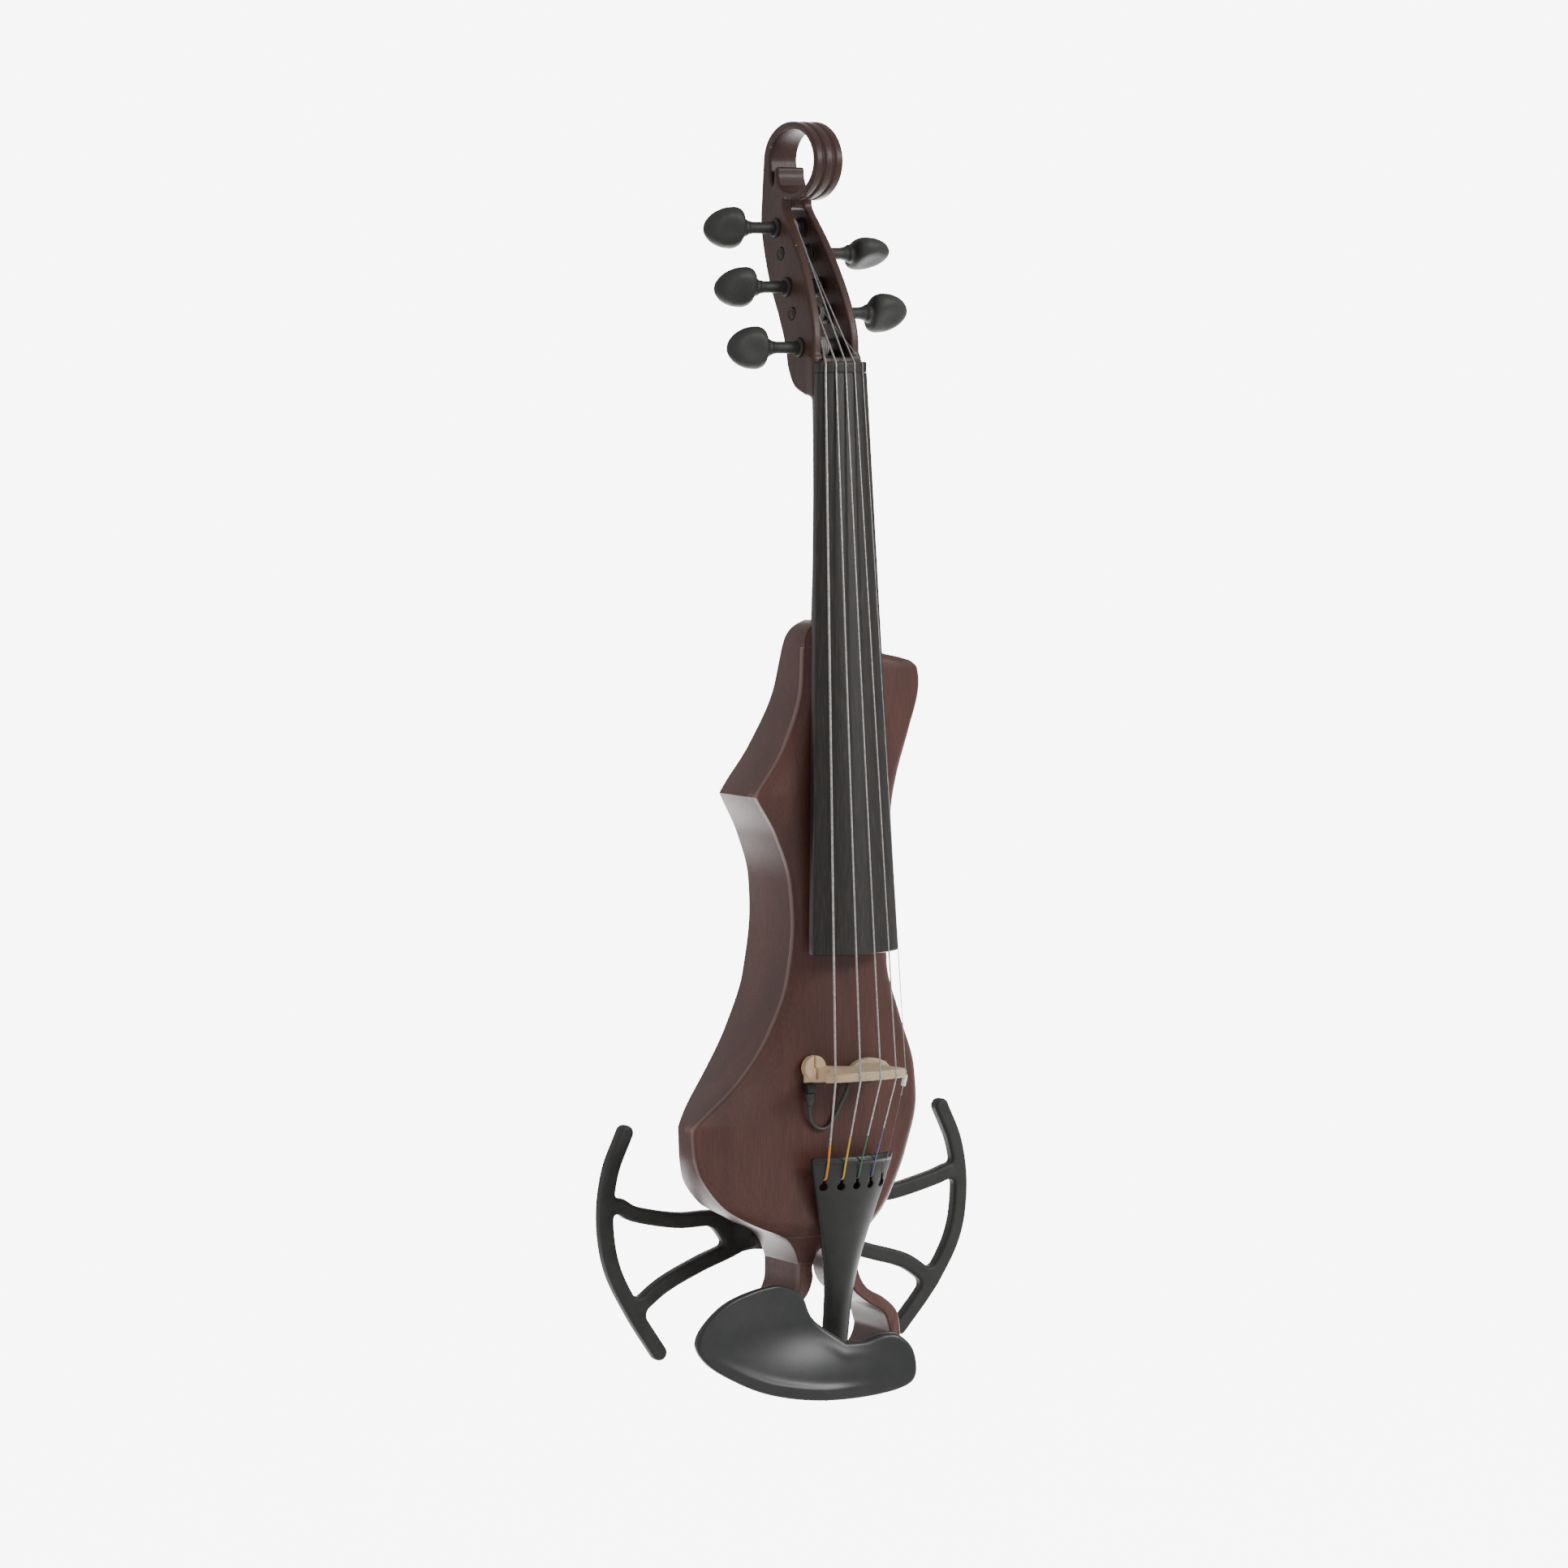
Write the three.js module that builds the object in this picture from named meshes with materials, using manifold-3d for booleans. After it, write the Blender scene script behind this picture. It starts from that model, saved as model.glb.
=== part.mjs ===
// A five-string electric violin: carved hollow body with an open tail loop, neck with an openwork
// scroll, five geared tuning pegs, bridge with a pickup, tailpiece, chin rest and shoulder wings.
//
// Lengths are millimetres. While it is built, the instrument stands scroll up with x towards the
// treble side, y towards the back and z up; zero is on the soundboard under the middle of the bridge.
// At the end everything moves so that zero is where a hanger holds the inside of the scroll.
import * as THREE from 'three';
import Module from 'manifold-3d';
import { mergeVertices } from 'three/addons/utils/BufferGeometryUtils.js';

const wasm = await Module();
wasm.setup();

// ---------------------------------------------------------------- driving dimensions
const GAP = 0.3;                 // clearance kept between pieces that touch
const STRING_LENGTH = 328;       // nut to bridge
const NUT_Z = STRING_LENGTH - 1;
const NUT_LENGTH = 5;
const NUT_EDGE_Y = 0.5;

const BOARD_END_Z = 58;          // lower end of the fingerboard
const BOARD_NUT_HALF = 13.5;     // half width at the nut
const BOARD_END_HALF = 23.6;     // half width at the lower end
const BOARD_RADIUS = 38;         // playing surface, across the board
const BOARD_EDGE_NUT_Y = 0.9;    // height of the board's long edges at the nut
const BOARD_EDGE_END_Y = -10.9;
const BOARD_SIDE = 4.4;

const BRIDGE_HEIGHT = 32.6;
const BRIDGE_RADIUS = 30;
const TREBLE_DROP = 2;           // the crown is this much lower under the highest string
const BRIDGE_FOOT = { low: -2.8, thick: 8 };     // lower face and thickness at the feet
const BRIDGE_CROWN = { low: 0.8, thick: 4.2 };
const STRING_KINK_Z = 1.4;
const STRING_X_BRIDGE = [-20, -10, 0, 10, 20];
const STRING_X_NUT = [-10.2, -5.1, 0, 5.1, 10.2];
const STRING_X_TAIL = [-15.6, -7.6, 0.4, 8.4, 16];
const STRING_RADIUS = [0.55, 0.45, 0.4, 0.35, 0.2];

const BODY_TOP_Z = 212;
const BODY_TAIL_Z = -92;
const CORNER_UP_Z = 131;         // the two sharp corners on the bass side
const CORNER_LOW_Z = -21.5;
const ARCH_EDGE = 5;             // the soundboard's edges lie this far behind its crown
const TAIL_FRONT_Y = 10;
const TAIL_BACK_Y = 43;
const BOARD_TOP_THICK = 3.5;     // soundboard
const SEAM_Z = -76;              // lower seam of the soundboard
const SEAM_TOP_Z = 200;
const RIM_RADIUS = 9;            // rounded edges of the treble side

const LOOP = { x: 39, z: -127, tall: 26.5, holeX: 33, holeZ: -126, holeTall: 20.5 };

const COVER = { x0: -32, x1: 30, z0: -48, z1: 24, y0: 45.9, y1: 48.4 };
const DOOR = { x0: -26, x1: 24, z0: -43, z1: -15 };
const KNOBS = [['volume', -15], ['tone', 13]];
const KNOB_Z = 4;
const JACK = { y: 28, z: -12, faceX: 43.3 };

const PEGS = [                   // side, height, depth and turn of each thumb piece
  { side: -1, z: 338.6, y: 18.5, turn: 0.1 },
  { side: -1, z: 366.5, y: 32, turn: 0.45 },
  { side: -1, z: 394, y: 45, turn: 0.3 },
  { side: 1, z: 382, y: 39, turn: 0.95 },
  { side: 1, z: 354.2, y: 26, turn: 0.5 },
];
const CHEEK = 4.5;
const DRUM_RADIUS = 3.9;
const DRUM_END_GAP = 0.8;        // the cheeks lean in, so the drum's ends keep clear of them
const JOURNAL_RADIUS = 2.75;
const SHANK_RADIUS = 2.8;
const SHANK_LENGTH = 18;
const WINDING_RADIUS = 5.2;
const WINDING_X = [-3, -2.5, 0, 1.5, 3.5];

const SCROLL = { y: 35.5, z: 425, deep: 23.5, tall: 18.3, holeY: 34, holeDeep: 19, holeTall: 14.8 };
const HOOK = new THREE.Vector3(0, SCROLL.holeY, SCROLL.z + SCROLL.holeTall);

const REST_FRONT_Y = -32;        // chin rest plate
const REST_BACK_Y = -24;
const POST_X = 22;
const POST_HALF = 3;
const POST_Z = -144;
const WING_FRONT_Y = 48.8;
const WING_BACK_Y = 55.2;
const WING_BAR = 7.5;
const WING_OPEN = 4;             // the treble wing's struts stand a little further apart
const HUB = { x: 12, z: -78, front: 45.6 };

// ---------------------------------------------------------------- small helpers
const V2 = (x, y) => new THREE.Vector2(x, y);
const V3 = (x, y, z) => new THREE.Vector3(x, y, z);
const mix = (a, b, t) => a + (b - a) * t;
const clamp01 = (t) => Math.min(1, Math.max(0, t));
const ease = (t) => clamp01(t) ** 2 * (3 - 2 * clamp01(t));

/** A smooth function through [t, value] pairs, given with t falling. */
function smooth(pairs) {
  const t = pairs.map((p) => p[0]);
  const v = pairs.map((p) => p[1]);
  const last = t.length - 1;
  const slope = v.map((_, i) => {
    if (i === 0 || i === last) {
      const j = i === 0 ? 0 : last - 1;
      return (v[j + 1] - v[j]) / (t[j + 1] - t[j]);
    }
    const before = (v[i] - v[i - 1]) / (t[i] - t[i - 1]);
    const after = (v[i + 1] - v[i]) / (t[i + 1] - t[i]);
    return before * after <= 0 ? 0 : (2 * before * after) / (before + after);
  });
  return (at) => {
    const i = Math.min(last - 1, Math.max(0, t.findIndex((knot) => knot <= at) - 1));
    const j = at <= t[last] ? last - 1 : i;
    const span = t[j + 1] - t[j];
    const s = clamp01((at - t[j]) / span);
    const a = 2 * s ** 3 - 3 * s ** 2 + 1;
    const b = s ** 3 - 2 * s ** 2 + s;
    const c = -2 * s ** 3 + 3 * s ** 2;
    const d = s ** 3 - s ** 2;
    return a * v[j] + b * span * slope[j] + c * v[j + 1] + d * span * slope[j + 1];
  };
}

/** Points on a smooth curve through the given 2-D points. */
const curve = (points, steps) => new THREE.SplineCurve(points.map(([x, y]) => V2(x, y))).getPoints(steps);

/** Points on an ellipse from one angle to another, in radians. */
function arc(cx, cy, rx, ry, from, to, steps) {
  return Array.from({ length: steps + 1 }, (_, i) => {
    const a = mix(from, to, i / steps);
    return V2(cx + rx * Math.cos(a), cy + ry * Math.sin(a));
  });
}

/** The signed volume of a closed mesh: below zero when its faces point inwards. */
function signedVolume(position, index) {
  let total = 0;
  const [a, b, c] = [V3(0, 0, 0), V3(0, 0, 0), V3(0, 0, 0)];
  for (let i = 0; i < index.length; i += 3) {
    a.fromArray(position, index[i] * 3);
    b.fromArray(position, index[i + 1] * 3);
    c.fromArray(position, index[i + 2] * 3);
    total += a.dot(b.cross(c)) / 6;
  }
  return total;
}

function solid(geometry) {
  const bare = geometry.clone();
  bare.deleteAttribute('normal');
  bare.deleteAttribute('uv');
  const merged = mergeVertices(bare, 1e-4);
  const position = new Float32Array(merged.attributes.position.array);
  const index = new Uint32Array(merged.index.array);
  if (signedVolume(position, index) < 0) index.reverse();
  return new wasm.Manifold(new wasm.Mesh({ numProp: 3, vertProperties: position, triVerts: index }));
}

function geometryOf(body) {
  const mesh = body.getMesh();
  const geometry = new THREE.BufferGeometry();
  geometry.setAttribute('position', new THREE.BufferAttribute(new Float32Array(mesh.vertProperties), 3));
  geometry.setIndex(new THREE.BufferAttribute(new Uint32Array(mesh.triVerts), 1));
  geometry.computeVertexNormals();
  return geometry;
}

const union = (bodies) => bodies.reduce((all, body) => all.add(body));
const cut = (body, tools) => tools.reduce((rest, tool) => rest.subtract(tool), body);

function block(x0, x1, y0, y1, z0, z1) {
  const box = new THREE.BoxGeometry(x1 - x0, y1 - y0, z1 - z0);
  return solid(box.translate((x0 + x1) / 2, (y0 + y1) / 2, (z0 + z1) / 2));
}

/** A flat piece whose outline is drawn in x and z, from depth y0 to y1. */
function slab(outline, y0, y1, holes = []) {
  const shape = new THREE.Shape(outline);
  shape.holes = holes.map((hole) => new THREE.Path(hole));
  const flat = new THREE.ExtrudeGeometry(shape, { depth: y1 - y0, bevelEnabled: false });
  return solid(flat.rotateX(Math.PI / 2).translate(0, y1, 0));
}

/** A flat piece whose outline is drawn in y and z, from x0 to x1. */
function sideSlab(outline, x0, x1, holes = []) {
  const shape = new THREE.Shape(outline);
  shape.holes = holes.map((hole) => new THREE.Path(hole));
  const flat = new THREE.ExtrudeGeometry(shape, { depth: x1 - x0, bevelEnabled: false });
  const turn = new THREE.Matrix4().makeBasis(V3(0, 1, 0), V3(0, 0, 1), V3(1, 0, 0));
  return solid(flat.applyMatrix4(turn).translate(x0, 0, 0));
}

/** A turned piece: profile pairs are [radius, distance along axis] from start to end, on the axis. */
function turned(profile, axis, at, segments = 16) {
  const points = profile.map(([r, d]) => V2(r, d));
  const lathe = new THREE.LatheGeometry(points, segments);
  const turn = new THREE.Quaternion().setFromUnitVectors(V3(0, 1, 0), axis.clone().normalize());
  return solid(lathe.applyQuaternion(turn).translate(at.x, at.y, at.z));
}

const X_AXIS = V3(1, 0, 0);
const Y_AXIS = V3(0, 1, 0);
const Z_AXIS = V3(0, 0, 1);

/** A plain round bar along an axis, from distance a to b past the point. */
const bar = (radius, axis, at, a, b, segments = 16) =>
  turned([[0, a], [radius, a], [radius, b], [0, b]], axis, at, segments);

const ball = (at, radius, around = 8, tall = 6) =>
  solid(new THREE.SphereGeometry(radius, around, tall).translate(at.x, at.y, at.z));

/** A wire bent at each of its points, mitred at the bends. */
function bentWire(points, radius, sides = 6) {
  const last = points.length - 1;
  const ahead = points.slice(1).map((p, i) => p.clone().sub(points[i]).normalize());
  const up = V3(1, 0, 0);
  const rings = points.map((point, i) => {
    const before = ahead[Math.max(0, i - 1)];
    const after = ahead[Math.min(last - 1, i)];
    const along = before.clone().add(after).normalize();
    const stretch = 1 / Math.max(0.5, along.dot(after));
    const side = up.clone().addScaledVector(along, -up.dot(along)).normalize();
    const bend = after.clone().sub(before);
    const outward = bend.lengthSq() > 1e-9 ? bend.normalize() : V3(0, 0, 0);
    return arc(0, 0, radius, radius, 0, 2 * Math.PI, sides).slice(1).map((p) => {
      const offset = side.clone().multiplyScalar(p.x).addScaledVector(along.clone().cross(side), p.y);
      const reach = offset.dot(outward);
      return point.clone().add(offset).addScaledVector(outward, reach * (stretch - 1));
    });
  });
  return loft(rings);
}

/** A closed skin through rings of equal length, with a flat fan at each end. */
function loft(rings) {
  const count = rings[0].length;
  const position = rings.flat().flatMap((p) => [p.x, p.y, p.z]);
  const index = [];
  for (let r = 0; r + 1 < rings.length; r += 1) {
    for (let i = 0; i < count; i += 1) {
      const j = (i + 1) % count;
      const [a, b] = [r * count + i, r * count + j];
      index.push(a, b, b + count, a, b + count, a + count);
    }
  }
  [0, rings.length - 1].forEach((r) => {
    const middle = rings[r].reduce((sum, p) => sum.add(p), V3(0, 0, 0)).divideScalar(count);
    const hub = position.length / 3;
    position.push(middle.x, middle.y, middle.z);
    for (let i = 0; i < count; i += 1) {
      const j = (i + 1) % count;
      const pair = r === 0 ? [j, i] : [i, j];
      index.push(hub, r * count + pair[0], r * count + pair[1]);
    }
  });
  const geometry = new THREE.BufferGeometry();
  geometry.setAttribute('position', new THREE.Float32BufferAttribute(position, 3));
  geometry.setIndex(index);
  return solid(geometry);
}

/** The outline of a bar of even width along a curve, with round ends. */
function ribbon(points, width, steps) {
  const line = new THREE.SplineCurve(points.map(([x, z]) => V2(x, z)));
  const left = [];
  const right = [];
  for (let i = 0; i <= steps; i += 1) {
    const p = line.getPoint(i / steps);
    const t = line.getTangent(i / steps);
    left.push(V2(p.x - (t.y * width) / 2, p.y + (t.x * width) / 2));
    right.push(V2(p.x + (t.y * width) / 2, p.y - (t.x * width) / 2));
  }
  const cap = (u) => {
    const p = line.getPoint(u);
    const t = line.getTangent(u).multiplyScalar(u === 0 ? -width / 2 : width / 2);
    return V2(p.x + t.x * 0.9, p.y + t.y * 0.9);
  };
  return [...left, cap(1), ...right.reverse(), cap(0)];
}

// ---------------------------------------------------------------- the body's curves
const bassUpper = smooth([[212, -10], [209, -15.5], [203, -18], [182, -19], [154, -28.3], [131, -44]]);
const bassBout = smooth([[131, -44], [112, -32.5], [90, -25], [71, -23.5], [45, -26.6], [20, -37], [0, -52],
  [-21.5, -78]]);
const bassLower = smooth([[-21.5, -78], [-34, -77], [-43.7, -74], [-52, -68.5], [-60, -60.8], [-65.2, -52.5], [-70.8, -40.6],
  [-74.5, -31], [-78.2, -24.6], [-84.6, -19.7], [-92, -17.2]]);
const trebleEdge = smooth([[212, 8], [200, 19], [192, 31], [186, 43], [180, 46], [160, 41], [125, 32],
  [85, 28.3], [50, 29.5], [25, 37], [0, 45.3], [-15, 46.5], [-40, 40.3], [-60, 31], [-78, 19], [-92, 15.7]]);
const spineDepth = smooth([[212, 19], [204, 24], [190, 29], [167, 35.5], [148, 41], [131, 44.5], [98, 45.5],
  [50, 48.5], [14, 49], [-48, 49], [-60, 46.2], [-70, 44.4], [-80, 43.4], [-92, TAIL_BACK_Y]]);
const backFall = smooth([[212, 6e-5], [-45, 6.3e-5], [-60, 7.6e-5], [-68, 1.7e-4], [-92, 2.4e-4]]);

function bassEdge(z) {
  if (z > CORNER_UP_Z) return bassUpper(z);
  return z > CORNER_LOW_Z ? bassBout(z) : bassLower(z);
}

function frontY(x, z) {
  const edge = x < 0 ? bassEdge(z) : trebleEdge(z);
  const arch = ARCH_EDGE * Math.min(1, Math.abs(x / edge)) ** 3;
  const tail = ease((-66 - z) / 22);
  return mix(arch, TAIL_FRONT_Y, tail);
}

const backY = (x, z) => spineDepth(z) - backFall(z) * Math.abs(x) ** 3;

/** One level section of the body, as a ring of points. */
function bodySection(z, inset, frontShift, backShift) {
  const x0 = bassEdge(z) + inset;
  const x1 = trebleEdge(z) - inset;
  const r = Math.min(RIM_RADIUS, (x1 - x0) / 5);
  const ring = [];
  const across = 9;
  for (let i = 0; i <= across; i += 1) {
    const x = mix(x0, x1 - r, i / across);
    ring.push(V3(x, frontY(x, z) + frontShift, z));
  }
  const front = frontY(x1 - r, z) + frontShift;
  const back = backY(x1 - r, z) + backShift;
  const rise = Math.min(r, (back - front) / 2.4);
  arc(x1 - r, front + rise, r, rise, -Math.PI / 2, 0, 3).slice(1).forEach((p) => ring.push(V3(p.x, p.y, z)));
  arc(x1 - r, back - rise, r, rise, 0, Math.PI / 2, 3).forEach((p) => ring.push(V3(p.x, p.y, z)));
  for (let i = across - 1; i >= 0; i -= 1) {
    const x = mix(x0, x1 - r, i / across);
    ring.push(V3(x, backY(x, z) + backShift, z));
  }
  return ring;
}

function bodyLevels(top, bottom) {
  const marks = [212, 210, 206, 200, 195, 190, 185, 180, 168, 154, 142, CORNER_UP_Z, 122, 108, 90, 70, 50, 32,
    16, 0, -12, CORNER_LOW_Z, -32, -44, -56, -64, -72, -80, -87, BODY_TAIL_Z];
  return [top, ...marks.filter((z) => z < top && z > bottom), bottom];
}

const bodyEnvelope = loft(bodyLevels(BODY_TOP_Z, BODY_TAIL_Z).map((z) => bodySection(z, 0, 0, 0)));

/** Everything in front of the joint between soundboard and shell, pushed back by some depth. */
function frontLayer(depth, top, bottom) {
  return loft(bodyLevels(top, bottom).map((z) => {
    const xs = [-90, bassEdge(z), bassEdge(z) * 0.6, 0, trebleEdge(z) * 0.6, trebleEdge(z), 60];
    const far = xs.map((x) => V3(x, frontY(x, z) + depth, z));
    return [V3(60, -30, z), V3(-90, -30, z), ...far];
  }));
}

// ---------------------------------------------------------------- neck, pegbox and scroll
const boardHalf = (z) => mix(BOARD_END_HALF, BOARD_NUT_HALF, (z - BOARD_END_Z) / (NUT_Z - BOARD_END_Z));
const boardEdgeY = (z) => mix(BOARD_EDGE_END_Y, BOARD_EDGE_NUT_Y, (z - BOARD_END_Z) / (NUT_Z - BOARD_END_Z));
const boardBackY = (z) => boardEdgeY(z) + BOARD_SIDE;
const sagitta = (x, radius) => radius - Math.sqrt(radius ** 2 - x ** 2);

const cheekHalf = smooth([[446, 7.5], [412, 7.9], [394, 9.3], [373, 10.8], [357, 11.9], [343, 12.6], [331, 12.8],
  [310, 12.8]]);

function neckShaft() {
  const section = (z, half, depth) => {
    const flat = boardBackY(z) + GAP;
    return arc(0, flat, half, depth, 0, Math.PI, 12).map((p) => V3(p.x, p.y, z));
  };
  const levels = [[336, 12.6, 12], [312, 12.4, 11], [270, 13, 11.5], [232, 14.2, 13], [214, 14.8, 15],
    [150, 14.8, 22]];
  return loft(levels.map(([z, half, depth]) => section(z, half, depth)));
}

/** The raised spine that carries the neck's end along the soundboard, under the fingerboard. */
function neckSpine() {
  const side = [[212, 4], [92, 4]].map(([z, y]) => V2(y, z));
  const top = [V2(boardBackY(92) + GAP, 92), V2(boardBackY(212) + GAP, 212)];
  return sideSlab([...side, ...top], -10.5, 10.5);
}

function headOutline() {
  const front = curve([[5.8, 332.6], [7, 348], [14.6, 367], [27, 387], [39, 402], [40, 407]], 14);
  const ring = arc(SCROLL.y, SCROLL.z, SCROLL.deep, SCROLL.tall, -1.38, -2 * Math.PI, 26).slice(1);
  const back = curve([[59, 425], [60, 408], [58, 392], [49, 370], [38, 352], [31.5, 339], [29, 329], [23.5, 320.5],
    [14, 316.5]], 22).slice(1);
  return [...front, ...ring, ...back, V2(5.8, 316.5)];
}

/** The see-through middle of the scroll, with the curl's free end standing up into it. */
function scrollHole() {
  const round = arc(SCROLL.holeY, SCROLL.z, SCROLL.holeDeep, SCROLL.holeTall, 0, 1.62 * Math.PI, 26);
  const curl = curve([[44.5, 413.6], [46.2, 418], [46.4, 421.6], [47.8, 422.3], [49, 420], [49.4, 415.5],
    [50.6, 413.6], [52, 416.5]], 14);
  return [...round, ...curl];
}

function pegboxSlot() {
  const inner = (z) => cheekHalf(z) - CHEEK;
  const up = [336, 350, 365, 380, 392, 401].map((z) => V2(inner(z), z));
  const down = [...up].reverse().map((p) => V2(-p.x, p.y));
  return slab([V2(6.5, 332.9), ...up, V2(2.6, 403.5), V2(-2.6, 403.5), ...down, V2(-6.5, 332.9)], -5, 80);
}

function pegHoles() {
  return PEGS.flatMap(({ side, z, y }) => {
    const out = X_AXIS.clone().multiplyScalar(side);
    const at = V3(0, y, z);
    return [bar(4.5, out, at, 3, 20), bar(JOURNAL_RADIUS + GAP, out, at, -20, 3)];
  });
}

function neckPiece() {
  const levels = [446, 420, 412, 403, 394, 373, 357, 343, 331, 310];
  const right = levels.map((z) => V2(cheekHalf(z), z));
  const left = [...right].reverse().map((p) => V2(-p.x, p.y));
  const taper = slab([...right, ...left], -20, 90);
  const head = sideSlab(headOutline(), -14, 14, [scrollHole()]).intersect(taper);
  return cut(union([head, neckShaft(), neckSpine()]), [pegboxSlot(), ...pegHoles()]);
}

/** The space that the neck's foot needs in the body, a little larger than the foot. */
function neckPocket() {
  const half = 14.8 + GAP;
  const section = (z, depth) => {
    const round = arc(0, boardBackY(z) + GAP, half, depth + GAP * 1.5, 0, Math.PI, 12);
    return [V2(half, -30), ...round, V2(-half, -30)].map((p) => V3(p.x, p.y, z));
  };
  const foot = loft([[260, 12], [214, 15], [150 - GAP, 22]].map(([z, depth]) => section(z, depth)));
  return foot.add(block(-10.5 - GAP, 10.5 + GAP, -20, 4 + GAP, 92 - GAP, 260));
}

function fingerboard() {
  const section = (z) => {
    const half = boardHalf(z);
    const rise = sagitta(half, BOARD_RADIUS);
    const top = Array.from({ length: 11 }, (_, i) => {
      const x = mix(-half, half, i / 10);
      return V3(x, boardEdgeY(z) - rise + sagitta(x, BOARD_RADIUS), z);
    });
    return [...top, V3(half - 0.6, boardBackY(z), z), V3(-half + 0.6, boardBackY(z), z)];
  };
  return loft([NUT_Z - GAP, BOARD_END_Z].map(section));
}

function nut() {
  const half = BOARD_NUT_HALF - 0.3;
  const crown = sagitta(half, BOARD_RADIUS);
  const section = (z) => {
    const top = Array.from({ length: 9 }, (_, i) => {
      const x = mix(-half, half, i / 8);
      return V3(x, NUT_EDGE_Y - crown + sagitta(x, BOARD_RADIUS), z);
    });
    return [...top, V3(half, 5.0, z), V3(-half, 5.0, z)];
  };
  return loft([section(NUT_Z + NUT_LENGTH), section(NUT_Z)]);
}

// ---------------------------------------------------------------- body, soundboard and covers
function tailLoop() {
  const outerSide = curve([[15.7, -86], [15.2, -96], [20, -104], [30, -110], [37, -117], [LOOP.x, LOOP.z]], 10);
  const outerLow = arc(0, LOOP.z, LOOP.x, LOOP.tall, 0, -Math.PI / 2, 8).slice(1);
  const bassSide = curve([[-17.3, -86], [-17, -94], [-17.6, -101.5], [-21.5, -108], [-30, -113.5], [-37.4, -119.5],
    [-LOOP.x, LOOP.z]], 10);
  const bassLow = outerLow.slice(0, -1).map((p) => V2(-p.x, p.y));
  const outer = [...outerSide, ...outerLow, ...bassLow.reverse(), ...bassSide.reverse()];
  const innerSide = curve([[0, -82], [6.6, -84.2], [10, -91], [10, -98], [13.4, -105.5], [21, -111.5],
    [29.5, -117], [LOOP.holeX, LOOP.holeZ]], 14);
  const innerLow = arc(0, LOOP.holeZ, LOOP.holeX, LOOP.holeTall, 0, -Math.PI / 2, 8).slice(1);
  const hole = [...innerSide, ...innerLow];
  const mirror = hole.slice(1, -1).reverse().map((p) => V2(-p.x, p.y));
  return {
    loop: slab(outer, TAIL_FRONT_Y, TAIL_BACK_Y),
    hole: slab([...hole, ...mirror], -40, 90),
  };
}

function bodyShell() {
  const { loop, hole } = tailLoop();
  const cavity = loft(bodyLevels(34, -64).map((z) => bodySection(z, 7, -20, -6)));
  const throat = loft(bodyLevels(124, 60).map((z) => bodySection(z, 7, -20, -10)));
  const cover = block(COVER.x0 - GAP, COVER.x1 + GAP, COVER.y0 - GAP, 70, COVER.z0 - GAP, COVER.z1 + GAP);
  const access = block(COVER.x0 + 5, COVER.x1 - 5, 25, 70, COVER.z0 + 5, COVER.z1 - 5);
  const jackSeat = block(JACK.faceX - 2.3, 60, JACK.y - 9.5, JACK.y + 9.5, JACK.z - 10.5, JACK.z + 10.5);
  const jackHole = bar(6.3, X_AXIS, V3(20, JACK.y, JACK.z), 0, 40);
  const bolts = [-1, 1].map((s) => bar(2.8, Y_AXIS, V3(s * HUB.x, 0, HUB.z), 28, 80));
  const screws = [-1, 1].map((s) => bar(1.8, Y_AXIS, V3(s * POST_X, 0, POST_Z), 0, 80));
  const pin = bar(2.1, Z_AXIS, V3(0, 21, -160), 0, 12);
  const tools = [frontLayer(BOARD_TOP_THICK + GAP, SEAM_TOP_Z + GAP, SEAM_Z - GAP), cavity, throat, neckPocket(),
    hole, cover, access, jackSeat, jackHole, pin, ...bolts, ...screws];
  return cut(bodyEnvelope.add(loop), tools);
}

function soundboard() {
  const layer = frontLayer(BOARD_TOP_THICK, SEAM_TOP_Z, SEAM_Z);
  const leadHole = bar(2.9, Y_AXIS, V3(LEAD_IN.x, 0, LEAD_IN.z), -5, 12);
  return cut(bodyEnvelope.intersect(layer), [neckPocket(), leadHole]);
}

function backCover() {
  const plate = block(COVER.x0, COVER.x1, COVER.y0, COVER.y1, COVER.z0, COVER.z1);
  const door = block(DOOR.x0 - 0.5, DOOR.x1 + 0.5, 40, 60, DOOR.z0 - 0.5, DOOR.z1 + 0.5);
  const shafts = KNOBS.map(([, x]) => bar(3.5, Y_AXIS, V3(x, 0, KNOB_Z), 40, 60));
  return cut(plate, [door, ...shafts]);
}

const batteryDoor = () => block(DOOR.x0, DOOR.x1, COVER.y0, COVER.y1, DOOR.z0, DOOR.z1);
const battery = () => block(-25, 23.5, 27, 44.5, -42.3, -15.8);
const circuitBoard = () => block(-26, 22, 29, 30.6, -10, 18);

const pot = (x) => turned([[0, 31], [8, 31], [8, 43.5], [3.1, 43.5], [3.1, 53], [0, 53]], Y_AXIS,
  V3(x, 0, KNOB_Z));

function knob(x) {
  const profile = [[3.4, 48.8], [8.5, 48.8], [8.5, 50], [7.6, 55.2], [6.8, 55.8], [0, 55.8], [0, 53.4], [3.4, 53.4]];
  return turned([...profile, profile[0]], Y_AXIS, V3(x, 0, KNOB_Z), 20);
}

function jackPlate() {
  const plate = block(JACK.faceX - 2, JACK.faceX, JACK.y - 9.2, JACK.y + 9.2, JACK.z - 10.2, JACK.z + 10.2);
  return plate.subtract(bar(5, X_AXIS, V3(0, JACK.y, JACK.z), 30, 60));
}

/** Jack socket with its threaded bush, nut and bore. */
function outputJack() {
  const profile = [[3.2, 45.6], [6.4, 45.6], [6.4, 43.6], [4.7, 43.6], [4.7, 41], [5.9, 41], [5.9, 24.6], [0, 24.6],
    [0, 26], [3.2, 26]];
  return turned([...profile, profile[0]], X_AXIS, V3(0, JACK.y, JACK.z));
}

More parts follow.
